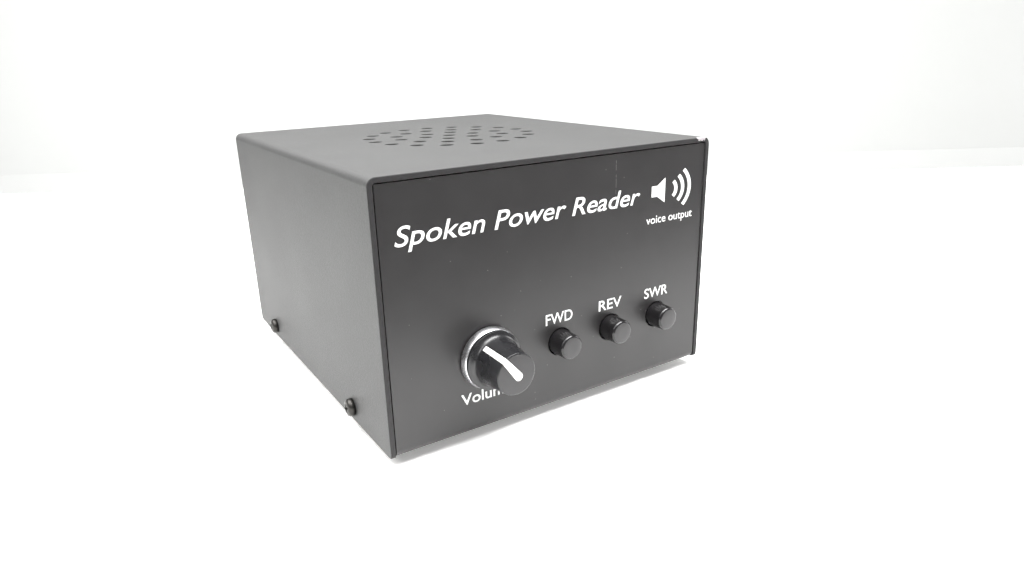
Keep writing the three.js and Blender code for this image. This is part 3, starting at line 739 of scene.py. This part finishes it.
def build_chassis():
    bm = bent_strip(
        [
            (-chassis_side, panel, chassis_top),
            (-chassis_side, panel, base),
            (-chassis_side, back_panel, base),
            (-chassis_side, back_panel, chassis_top),
        ],
        (2 * chassis_side, 0, 0),
        CHASSIS_BEND,
    )
    turn_up_flanges(bm)
    bmesh.ops.recalc_face_normals(bm, faces=bm.faces)
    thicken(bm, middle)
    bmesh.ops.recalc_face_normals(bm, faces=bm.faces)
    cutters = bmesh.new()
    drill_bit(cutters, knob_axis, SHAFT_HOLE, THROUGH_SHEET, "y")
    for axis in button_axes.values():
        drill_bit(cutters, axis, BUTTON_HOLE, THROUGH_SHEET, "y", 48)
    drill_bit(cutters, (power.x, back_panel, power.z), POWER_HOLE, THROUGH_SHEET, "y")
    for name in screw_nodes:
        drill_bit(cutters, centre_of(name), SCREW_HOLE, THROUGH_FLANGE, "x")
    jack = (jack_low + jack_high) / 2
    size = jack_high - jack_low + Vector((SOCKET_GAP, 0, SOCKET_GAP))
    cut_out = Matrix.Diagonal((size.x, 2 * THROUGH_SHEET, size.z, 1))
    bmesh.ops.create_cube(
        cutters, size=1, matrix=Matrix.Translation((jack.x, back_panel, jack.z)) @ cut_out
    )
    bm = bored(as_mesh(bm, "chassis_blank"), as_mesh(cutters, "chassis_cutters"), "chassis")
    bmesh.ops.dissolve_limit(bm, angle_limit=FLAT_ANGLE, verts=bm.verts, edges=bm.edges)
    rounded = soften(bm, 0.15 * MM, 2, sharper_than=60)
    piece = settle(bm, "chassis_shell", [panel_paint], "case", ["chassis"])
    print("chassis:", len(piece.data.polygons), "faces,", rounded, "edges rounded")
    return piece


build_chassis()

# %% [markdown]
# ## Turning on the lathe
#
# Knob, buttons, screws and feet are all round, so each is a half profile spun about its axis. The profile
# is a list of radius and height pairs in millimetres, only where the outline turns. Corners are rounded
# after the spin with a bevel. The last step stands the piece on its axis.

# %% Turn a profile
def lathe(profile, sides=64):
    """Spins (radius, height) pairs in millimetres about Z and closes the poles."""
    bm = bmesh.new()
    points = [bm.verts.new((radius * MM, 0, height * MM)) for radius, height in profile]
    chain = [bm.edges.new(pair) for pair in zip(points, points[1:])]
    bmesh.ops.spin(
        bm, geom=[*points, *chain], cent=(0, 0, 0), axis=(0, 0, 1),
        angle=2 * math.pi, steps=sides, use_merge=True,
    )
    bmesh.ops.remove_doubles(bm, verts=bm.verts, dist=MERGE)
    bmesh.ops.dissolve_degenerate(bm, edges=bm.edges, dist=MERGE)
    bmesh.ops.recalc_face_normals(bm, faces=bm.faces)
    return bm


FACING = {
    "-y": Matrix.Rotation(math.pi / 2, 4, "X"),
    "+y": Matrix.Rotation(-math.pi / 2, 4, "X"),
    "-x": Matrix.Rotation(-math.pi / 2, 4, "Y"),
    "+x": Matrix.Rotation(math.pi / 2, 4, "Y"),
    "-z": Matrix.Rotation(math.pi, 4, "X"),
    "+z": Matrix(),
}


def stand(bm, at, facing, twist=0.0):
    """Turns a shape made along +Z to face another way, at a place."""
    matrix = Matrix.Translation(at) @ FACING[facing] @ Matrix.Rotation(math.radians(twist), 4, "Z")
    bmesh.ops.transform(bm, matrix=matrix, verts=bm.verts)
    return bm


def paint_faces(bm, index, chosen):
    for face in bm.faces:
        if chosen(face.calc_center_median(), face.normal):
            face.material_index = index


print("lathe ready")

# %% [markdown]
# ## The volume knob
#
# A skirted knob: a glossy skirt sweeps up in a hollow curve into a slightly tapered body, and its flat
# face is moulded dull inside a narrow polished bevel. Behind the skirt it is hollow, to clear the nut.
# The hollow curve is a quarter of an ellipse in the profile.

# %% Knob
KNOB_LENGTH = 16.0
SHAFT_BORE = 3.2
BORE_END = 13.4
SKIRT = 9.5
NECK = (7.5, 6.4)  # radius and height where the body leaves the skirt
KNOB_TIP = 6.55


def quarter_hollow(start, end, steps=8):
    """Points on a hollow quarter curve between two (radius, height) pairs."""
    points = []
    for i in range(steps + 1):
        angle = i / steps * math.pi / 2
        points.append(
            (
                end[0] + (start[0] - end[0]) * (1 - math.sin(angle)),
                start[1] + (end[1] - start[1]) * (1 - math.cos(angle)),
            )
        )
    return points


knob_profile = [
    (SHAFT_BORE, 5.0),
    (6.4, 5.0),
    (6.4, 0.5),
    (8.8, 0.5),
    (8.8, 3.05),
    (SKIRT, 3.05),
    *quarter_hollow((SKIRT, 4.1), NECK),
    (KNOB_TIP, KNOB_LENGTH - 0.2),
    (KNOB_TIP - 0.45, KNOB_LENGTH),
    (0, KNOB_LENGTH),
]


def build_knob():
    bm = lathe([(0, BORE_END), (SHAFT_BORE, BORE_END), *knob_profile], 96)
    soften(bm, 0.12 * MM, 2, sharper_than=50)
    paint_faces(bm, 1, lambda at, normal: at.z > (KNOB_LENGTH - 0.02) * MM and normal.z > 0.99)
    stand(bm, knob_axis, "-y")
    return settle(bm, "knob_body", [knob_black, knob_face], "volume_control", ["knob"])


build_knob()
print("knob:", KNOB_LENGTH, "mm long")

# %% [markdown]
# The bright ring pressed over the skirt is a plain band with a rounded front edge.

# %% Knob ring
ring_inner, ring_outer = 8.95, 10.0
ring = lathe(
    [
        (ring_inner, 0.5), (ring_outer, 0.5), (ring_outer, 1.3), (ring_outer - 0.1, 2.0),
        (ring_outer - 0.32, 2.7), (ring_outer - 0.55, 3.05), (ring_inner, 3.05), (ring_inner, 0.5),
    ],
    96,
)
soften(ring, 0.1 * MM, 2, sharper_than=40)
stand(ring, knob_axis, "-y")
settle(ring, "knob_band", [ring_bright], "volume_control", ["knob_ring"])
print("ring:", 2 * ring_outer, "mm across")

# %% [markdown]
# ## The pointer
#
# A white bar is moulded into the knob. It climbs the body's side, turns over the rim and runs past the
# middle of the face, getting wider on the way, with a round end. It starts as a strip of quads along that
# path, which is then given a little thickness and stands just proud of the black.

# %% Pointer
POINTER_TURN = 128  # degrees from the right-hand side, seen from the front
PROUD = 0.05
FACE_RUN = 7.2  # how far it runs across the face
FACE_HALF = 0.93  # half width where it comes onto the face
FACE_SPREAD = 0.4  # what it gains in half width along the face
INLAY_DEPTH = 0.35 * MM


def pointer_path():
    """(distance from the axis, height, half width) along the pointer, from skirt to past the middle."""
    side_low = (NECK[0] + 0.03, NECK[1] - 0.6, 0.8)
    side_middle = (NECK[0] - 0.02, NECK[1] + 0.1, 0.81)
    side_high = (KNOB_TIP + 0.02, KNOB_LENGTH - 0.35, 0.88)
    edge = (KNOB_TIP - 0.15, KNOB_LENGTH - 0.05, 0.9)
    face = [
        (KNOB_TIP - 0.5 - FACE_RUN * t, KNOB_LENGTH, FACE_HALF + FACE_SPREAD * t)
        for t in (0.0, 0.25, 0.5, 0.75, 1.0)
    ]
    return [side_low, side_middle, side_high, edge, *face]


def build_pointer():
    bm = bmesh.new()
    rows = []
    for reach, height, half in pointer_path():
        on_face = height >= KNOB_LENGTH - 0.1
        lifted = height + PROUD if on_face else height
        out = reach if on_face else reach + PROUD
        rows.append([bm.verts.new((out * MM, half * k * MM, lifted * MM)) for k in (-1, -0.5, 0, 0.5, 1)])
    for low, high in zip(rows, rows[1:]):
        for a, b, c, d in zip(low, low[1:], high[1:], high):
            bm.faces.new((a, b, c, d))
    reach, height, half = pointer_path()[-1]
    arc = []
    steps = 12
    for i in range(1, steps):
        angle = math.pi / 2 + i * math.pi / steps
        x, y = reach + half * math.cos(angle), half * math.sin(angle)
        arc.append(bm.verts.new((x * MM, y * MM, (height + PROUD) * MM)))
    bm.faces.new([*rows[-1], *arc])
    bmesh.ops.recalc_face_normals(bm, faces=bm.faces)
    bmesh.ops.solidify(bm, geom=list(bm.faces), thickness=INLAY_DEPTH)
    stand(bm, knob_axis, "-y", POINTER_TURN)
    return settle(bm, "pointer_inlay", [marking_white], "volume_control", ["knob_pointer"])


build_pointer()
print("pointer turned", POINTER_TURN, "degrees")

# %% [markdown]
# ## The buttons
#
# Three caps, a little narrower at the tip, glossy on the side and dull on the slightly domed end. A
# flange behind the panel keeps each from falling out. They are one profile, turned three times.

# %% Buttons
button_profile = [
    (0, -1.1),
    (2.2, -1.1),
    (2.2, -3.1),
    (5.7, -3.1),
    (5.7, -1.9),
    (4.45, -1.9),
    (4.45, 0),
    (4.2, 5.7),
    (4.05, 6.25),
    (3.7, 6.62),
    (3.2, 6.75),
    (1.6, 6.8),
    (0, 6.8),
]


def build_button(name):
    bm = lathe(button_profile, 72)
    soften(bm, 0.18 * MM, 3, sharper_than=30)
    paint_faces(bm, 1, lambda at, normal: at.z > 6.6 * MM and normal.z > 0.94)
    stand(bm, button_axes[name], "-y")
    return settle(
        bm, name + "_cap", [button_black, button_face], name + "_key", [name + "_button"]
    )


for reading in readings:
    build_button(reading)
print("buttons:", len(readings))

# %% [markdown]
# ## Screws
#
# Pan-head screws with a cross recess. The head is turned, then the recess is cut out of it by two bars
# crossed at right angles. Each bar narrows downwards like the bit that drives it, so it is a four-sided
# cone, squeezed. Each screw is left at its own angle, because nobody lines them up.

# %% Screws
def pan_screw(head, height, shaft, length):
    """A pan-head screw along +Z with the underside of its head at 0. Sizes in millimetres."""
    r, s = head / 2, shaft / 2
    bm = lathe(
        [
            (0, -length), (s * 0.7, -length), (s, 0.5 - length), (s, 0),
            (r * 0.94, 0), (r, height * 0.15), (r, height * 0.4), (r * 0.95, height * 0.66),
            (r * 0.8, height * 0.86), (r * 0.5, height * 0.97), (0, height),
        ],
        48,
    )
    for turn in (0, 90):
        bar = bmesh.new()
        bmesh.ops.create_cone(
            bar, cap_ends=True, segments=4, radius1=0.5, radius2=1.0, depth=height * MM,
            matrix=Matrix.Translation((0, 0, height * 0.82 * MM))
            @ Matrix.Rotation(math.radians(turn), 4, "Z")
            @ Matrix.Diagonal((head * 0.42 * MM, head * 0.12 * MM, 1, 1))
            @ Matrix.Rotation(math.pi / 4, 4, "Z"),
        )
        bm = bored(as_mesh(bm, "screw_blank"), as_mesh(bar, "driver_bit"), "screw")
    soften(bm, 0.05 * MM, 1, sharper_than=50)
    return bm


for i, name in enumerate(screw_nodes):
    spot = centre_of(name)
    facing = "-x" if spot.x < 0 else "+x"
    spot.x = math.copysign(side, spot.x)
    screw = stand(pan_screw(head=6.0, height=2.4, shaft=3.0, length=6.0), spot, facing, 25 + 47 * i)
    settle(screw, name + "_head", [screw_black], "case", [name])

for i in range(1, 5):
    name = "base_screw_" + str(i)
    spot = centre_of(name)
    spot.z = base
    screw = stand(pan_screw(head=5.6, height=1.9, shaft=3.0, length=4.4), spot, "-z", 15 + 31 * i)
    settle(screw, name + "_head", [screw_black], "case", [name])
print("screws:", len(screw_nodes) + 4)

# %% [markdown]
# ## Feet
#
# Four rubber feet, glued under the base, a little narrower where they meet the table.

# %% Feet
FOOT_PROFILE = [(0, 0), (6.3, 0), (6.25, 0.9), (5.3, 3.5), (2.6, 3.5), (2.2, 3.1), (0, 3.1)]
foot_nodes = [name for name in nodes if name.startswith("foot_")]
for name in foot_nodes:
    spot = centre_of(name)
    spot.z = base
    foot = lathe(FOOT_PROFILE, 56)
    soften(foot, 0.35 * MM, 3, sharper_than=25)
    settle(stand(foot, spot, "-z"), name + "_pad", [rubber_black], "case", [name])
print("feet:", len(foot_nodes))

# %% [markdown]
# ## The sockets at the back
#
# Power comes in through a barrel socket with a nickelled nut, and the remote sensor plugs into a modular
# socket. The modular socket is a block with its mouth cut out, a step in the mouth's floor for the plug's
# latch, and a row of sprung gold contacts inside.

# %% Power socket
POWER_BARREL = 4.0  # radius, like the next two
POWER_BORE = 2.9
POWER_COLLAR = 5.4
DEPTH = 11.0
behind_sheet = -SHEET / MM - 0.1
proud = (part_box("dc_jack")[1].y - back_panel) / MM
power_at = Vector((power.x, back_panel, power.z))
barrel = lathe(
    [
        (0, 1.0 - DEPTH), (POWER_BORE, 1.0 - DEPTH), (POWER_BORE, proud), (POWER_BARREL, proud),
        (POWER_BARREL, behind_sheet), (POWER_COLLAR, behind_sheet), (POWER_COLLAR, -DEPTH), (0, -DEPTH),
    ],
    64,
)
soften(barrel, 0.2 * MM, 2)
settle(stand(barrel, power_at, "+y"), "power_barrel", [moulded_black], "case", ["dc_jack"])

pin_low, pin_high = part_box("dc_pin")
pin_from, pin_to = [(y - back_panel) / MM for y in (pin_low.y, pin_high.y)]
pin_radius = (pin_high.x - pin_low.x) / 2 / MM
pin = lathe([(0, pin_from), (pin_radius, pin_from), (pin_radius, pin_to), (0, pin_to)], 32)
soften(pin, 0.3 * MM, 3)
settle(stand(pin, power_at, "+y"), "power_pin", [socket_nickel], "case", ["dc_pin"])

nut_low, nut_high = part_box("dc_nut")
nut_across = min(nut_high.x - nut_low.x, nut_high.z - nut_low.z)
nut_corner = nut_across / math.sqrt(3)
nut_blank = bmesh.new()
bmesh.ops.create_cone(
    nut_blank, cap_ends=True, segments=6, radius1=nut_corner, radius2=nut_corner,
    depth=nut_high.y - nut_low.y, matrix=FACING["+y"],
)
nut_bore = bmesh.new()
drill_bit(nut_bore, (0, 0, 0), POWER_BARREL * MM + 0.1 * MM, 6 * MM, "y", 48)
nut = bored(as_mesh(nut_blank, "nut_blank"), as_mesh(nut_bore, "nut_bore"), "nut")
soften(nut, 0.2 * MM, 2, sharper_than=40)
stand(nut, (nut_low + nut_high) / 2, "+z")
settle(nut, "power_nut", [socket_nickel], "case", ["dc_nut"])
print("nut across flats", round(nut_across / MM, 2), "mm, barrel proud", round(proud, 2), "mm")

# %% Sensor socket
SOCKET_X = 20 * MM
CONTACTS = 6
CONTACT_PITCH = 1.02 * MM
CONTACT_HALF = 0.2 * MM
CONTACT_SLOPE = math.radians(8)


def box_between(bm, low, high):
    low, high = Vector(low), Vector(high)
    size = high - low
    return bmesh.ops.create_cube(
        bm, size=1, matrix=Matrix.Translation((low + high) / 2) @ Matrix.Diagonal((*size, 1))
    )["verts"]


mouth_foot = Vector((SOCKET_X, jack_high.y, jack_low.z))
mouth_low = mouth_foot + Vector((-5, -12, 3.6)) * MM
mouth_high = mouth_foot + Vector((5, 1, 10.6)) * MM
latch_low = mouth_foot + Vector((-3.2, -8, 1.6)) * MM
latch_high = mouth_foot + Vector((3.2, 1.2, 4)) * MM
jack_piece = bmesh.new()
box_between(jack_piece, jack_low, jack_high)
for hollow in ((mouth_low, mouth_high), (latch_low, latch_high)):
    cutter = bmesh.new()
    box_between(cutter, *hollow)
    jack_piece = bored(as_mesh(jack_piece, "jack_blank"), as_mesh(cutter, "jack_cutter"), "jack")
soften(jack_piece, 0.25 * MM, 2, sharper_than=40)
settle(jack_piece, "sensor_socket_body", [moulded_black], "case", ["sensor_jack"])

contacts = bmesh.new()
for i in range(CONTACTS):
    x = (mouth_low.x + mouth_high.x) / 2 + (i - (CONTACTS - 1) / 2) * CONTACT_PITCH
    box_between(
        contacts,
        (x - CONTACT_HALF, mouth_low.y + 1.0 * MM, mouth_high.z - 1.3 * MM),
        (x + CONTACT_HALF, jack_high.y - 2.5 * MM, mouth_high.z - 0.9 * MM),
    )
bmesh.ops.transform(
    contacts,
    matrix=Matrix.Translation((0, mouth_low.y, mouth_high.z))
    @ Matrix.Rotation(CONTACT_SLOPE, 4, "X")
    @ Matrix.Translation((0, -mouth_low.y, -mouth_high.z)),
    verts=contacts.verts,
)
soften(contacts, 0.08 * MM, 2)
settle(contacts, "sensor_socket_contacts", [contact_gold], "case")
print("sensor socket mouth", [round(v / MM, 1) for v in mouth_high - mouth_low])

# %% [markdown]
# ## The printing
#
# The legends are silk-screened: ink about three hundredths of a millimetre thick, standing on the paint.
# Each is a text object with a very small depth, made a mesh, stretched to its real width and height and
# then stood against the panel. The words are generic: what the box is, and what each control does.

# %% Printed legends
INK = 0.03 * MM


def ink_text(words, shear=0.0, weight=0.0):
    """Lettering as a bmesh in the XY plane, as thick as the ink, at the font's own size."""
    curve = bpy.data.curves.new("lettering", "FONT")
    curve.body = words
    curve.size = 10 * MM
    curve.shear = shear
    curve.offset = weight * MM
    curve.resolution_u = 6
    curve.extrude = INK / 2
    holder = bpy.data.objects.new("lettering", curve)
    bpy.context.scene.collection.objects.link(holder)
    bpy.context.view_layer.update()
    flat = bpy.data.meshes.new_from_object(holder.evaluated_get(bpy.context.evaluated_depsgraph_get()))
    bpy.data.objects.remove(holder)
    bm = bmesh.new()
    bm.from_mesh(flat)
    return bm


def print_on_panel(bm, name, x_span, z_span, heights=None):
    """Fits ink between two x and two z places, in millimetres from the case's middle and its base.

    heights are the two heights of the lettering that land on the z places, if not its lowest and highest.
    """
    lows = [min(v.co[i] for v in bm.verts) for i in (0, 1)]
    highs = [max(v.co[i] for v in bm.verts) for i in (0, 1)]
    if heights is not None:
        lows[1], highs[1] = heights
    wide = (x_span[1] - x_span[0]) * MM / (highs[0] - lows[0])
    high = (z_span[1] - z_span[0]) * MM / (highs[1] - lows[1])
    fit = Matrix.Diagonal((wide, high, 1, 1)) @ Matrix.Translation((-lows[0], -lows[1], 0))
    at = Vector((x_span[0] * MM, panel - INK / 2, base + z_span[0] * MM))
    bmesh.ops.transform(bm, matrix=Matrix.Translation(at) @ FACING["-y"] @ fit, verts=bm.verts)
    bmesh.ops.recalc_face_normals(bm, faces=bm.faces)
    piece = settle(bm, name, [ink_white], "case")
    for polygon in piece.data.polygons:
        polygon.use_smooth = False
    piece.modifiers.clear()
    return piece


CAPS = (0.0, 7.29 * MM)  # baseline and capital height of the lettering at its own size
WITH_TAILS = (-2.0 * MM, 7.3 * MM)  # from under the tail of a p up to a capital's height
title = ink_text("Spoken Power Reader", shear=0.25, weight=0.05)
print_on_panel(title, "title_print", (-57, 32), (63.8, 69.7), CAPS)
spans = {"fwd": (-7.2, 3.6), "rev": (14.8, 24.8), "swr": (35.5, 46.7)}
for reading, span in spans.items():
    print_on_panel(ink_text(reading.upper(), weight=0.08), reading + "_print", span, (29.1, 32.8))
print_on_panel(ink_text("Volume", weight=0.1), "volume_print", (-39.2, -20.8), (10.2, 13.9))
small_print = ink_text("voice output", weight=0.03)
print_on_panel(small_print, "output_print", (35.2, 57.0), (55.3, 59.0), WITH_TAILS)
print("legends printed")

# %% [markdown]
# Beside the title stands a small sign for sound: a loudspeaker's box and horn with three arcs of sound.
# The horn is a square whose corners are moved to make a trapezium. Each arc is a short edge spun about
# the horn's mouth. Its numbers are units of its own, because the printing stretches it to its place on
# the panel.

# %% Sign for sound
ARC_CENTRE = 5.6
ARC_RADII = (3.4, 6.2, 9.0)
ARC_WIDTH = 1.3
ARC_HALF = 0.75  # radians above and below the middle


def sound_sign():
    bm = bmesh.new()
    box_verts = bmesh.ops.create_grid(bm, x_segments=1, y_segments=1, size=0.5)["verts"]
    box = Matrix.Translation((1.0, 0, 0)) @ Matrix.Diagonal((2.2, 4.0, 1, 1))
    bmesh.ops.transform(bm, matrix=box, verts=box_verts)
    horn = bmesh.ops.create_grid(bm, x_segments=1, y_segments=1, size=0.5)["verts"]
    for vert in horn:
        wide = vert.co.x > 0
        vert.co = Vector((5.2 if wide else 2.1, math.copysign(4.6 if wide else 2.0, vert.co.y), 0))
    lowest = Vector((math.cos(ARC_HALF), -math.sin(ARC_HALF), 0))
    centre = Vector((ARC_CENTRE, 0, 0))
    for radius in ARC_RADII:
        ends = [bm.verts.new(centre + lowest * reach) for reach in (radius, radius + ARC_WIDTH)]
        bmesh.ops.spin(
            bm, geom=[*ends, bm.edges.new(ends)], cent=centre, axis=(0, 0, 1), angle=2 * ARC_HALF, steps=20
        )
    for vert in bm.verts:
        vert.co *= MM
    bmesh.ops.recalc_face_normals(bm, faces=bm.faces)
    bmesh.ops.solidify(bm, geom=list(bm.faces), thickness=INK)
    return bm


print_on_panel(sound_sign(), "sound_sign", (37.2, 55.8), (60.6, 73.6))
print("sign printed")

# %% [markdown]
# ## The studio
#
# A white table runs back to a grey wall that starts some way behind the case. The table glows a little:
# this is painted light, which pales the shadow under the case so that the table stays pale right up to
# the case. The wall looks pale too, because the main lamp lights it.

# %% Table and wall
WALL_AHEAD = 0.66  # from the camera, like every length in the backdrop
TABLE_BEHIND = 2.2
WALL_TOP = 1.8
STUDIO_HALF = 2.5
# the table's glow: painted light that pales the shadow under the case
PAINTED_TABLE_GLOW = 0.28


def plain(name, colour, roughness, glow=0.0):
    surface = Shader(name)
    cloud = surface.noise(0.25, detail=2)
    tooth = surface.noise(0.0015, detail=2)
    brighter = tuple(min(1, channel * 1.03) for channel in colour)
    return surface.dress(
        Base_Color=surface.mix(cloud, colour, brighter),
        Roughness=roughness,
        Normal=surface.bump(tooth, 0.02 * MM, 0.3),
        Emission_Color=(1, 1, 0.99, 1),
        Emission_Strength=glow,
    )


# the table glows: painted light that pales the shadow under the case
glowing_table = plain("glowing_table", (0.88, 0.88, 0.87), 0.6, glow=PAINTED_TABLE_GLOW)
wall_white = plain("wall_white", (0.42, 0.425, 0.42), 0.8)


def backdrop():
    bm = bmesh.new()
    profile = [
        (-TABLE_BEHIND, 0), (0, 0), (WALL_AHEAD - 0.02, 0), (WALL_AHEAD - 0.006, 0.003),
        (WALL_AHEAD, 0.02), (WALL_AHEAD, WALL_TOP),
    ]
    points = [bm.verts.new((-STUDIO_HALF, y, z)) for y, z in profile]
    chain = [bm.edges.new(pair) for pair in zip(points, points[1:])]
    drawn = bmesh.ops.extrude_edge_only(bm, edges=chain)
    moved = [item for item in drawn["geom"] if isinstance(item, bmesh.types.BMVert)]
    bmesh.ops.translate(bm, verts=moved, vec=(2 * STUDIO_HALF, 0, 0))
    paint_faces(bm, 1, lambda at, normal: at.z > 0.002)
    under_camera = Matrix.Translation((camera.location.x, camera.location.y, 0))
    bmesh.ops.transform(bm, matrix=under_camera @ Matrix.Rotation(VIEW_TURN, 4, "Z"), verts=bm.verts)
    bmesh.ops.recalc_face_normals(bm, faces=bm.faces)
    if bm.faces[0].normal.z < 0:
        bmesh.ops.reverse_faces(bm, faces=bm.faces)
    mesh = as_mesh(bm, "studio")
    mesh.materials.append(glowing_table)
    mesh.materials.append(wall_white)
    studio = bpy.data.objects.new("studio", mesh)
    bpy.context.scene.collection.objects.link(studio)
    return studio


studio = backdrop()
print("studio has", len(studio.data.polygons), "faces")

# %% [markdown]
# Black paint has almost no colour of its own, so what it shows is the studio itself, and the lamps are
# placed by what each face mirrors. The widest hangs above and behind the case, one hangs in front and one
# stands on the left. A small one far to the right stands for a window. A black card lies in front of the
# case, where the upper half of the panel mirrors it.

# %% Lamps and card
CARD_PLACE = Vector((0.2, front - 0.298, 0.012))
CARD_TURN = -0.12  # radians
CARD_SIZE = (1, 0.4)
ROOM_LIGHT = 0.4


def softbox(name, at, aim, size, power, turn=None):
    lamp = bpy.data.lights.new(name, "AREA")
    lamp.shape = "RECTANGLE"
    lamp.size, lamp.size_y = size
    lamp.energy = power
    holder = bpy.data.objects.new(name, lamp)
    bpy.context.scene.collection.objects.link(holder)
    holder.location = at
    holder.rotation_euler = (Vector(aim) - Vector(at)).to_track_quat("-Z", "Y").to_euler()
    if turn is not None:
        holder.rotation_euler = (0, 0, turn)
    holder.visible_camera = False
    return holder


softbox(
    "main_light", at=(-0.02, 0.16, 0.6), aim=(-0.02, 0.16, 0), size=(0.9, 0.5), power=6, turn=VIEW_TURN
)
softbox("front_light", at=(0.07, -0.2, 0.42), aim=(0.07, -0.14, 0), size=(0.4, 0.2), power=4.5)
softbox("left_light", at=(-0.3, 0.04, 0.36), aim=(-0.28, 0.04, 0), size=(0.4, 0.5), power=4)
softbox("window", at=(0.8, -0.1, 0.22), aim=(0, -0.05, 0.05), size=(0.25, 0.3), power=2)


def dark_card():
    """The card is hidden from the camera, casts no shadow and shows only in gloss."""
    bm = bmesh.new()
    at = Matrix.Translation(CARD_PLACE) @ Matrix.Rotation(CARD_TURN, 4, "Z")
    cut = Matrix.Diagonal((*CARD_SIZE, 1, 1))
    bmesh.ops.create_grid(bm, x_segments=1, y_segments=1, size=0.5, matrix=at @ cut)
    mesh = as_mesh(bm, "dark_card")
    mesh.materials.append(plain("card_black", (0.02, 0.02, 0.02), 0.9))
    card = bpy.data.objects.new("dark_card", mesh)
    bpy.context.scene.collection.objects.link(card)
    card.visible_camera = False
    card.visible_shadow = False
    card.visible_diffuse = False


dark_card()
world = bpy.data.worlds.new("room")
world.use_nodes = True
background = world.node_tree.nodes["Background"]
background.inputs["Color"].default_value = (1.0, 0.99, 0.975, 1)
background.inputs["Strength"].default_value = ROOM_LIGHT
bpy.context.scene.world = world
bpy.context.scene.view_settings.view_transform = "Standard"
print("lamps:", [lamp.name for lamp in bpy.data.lights])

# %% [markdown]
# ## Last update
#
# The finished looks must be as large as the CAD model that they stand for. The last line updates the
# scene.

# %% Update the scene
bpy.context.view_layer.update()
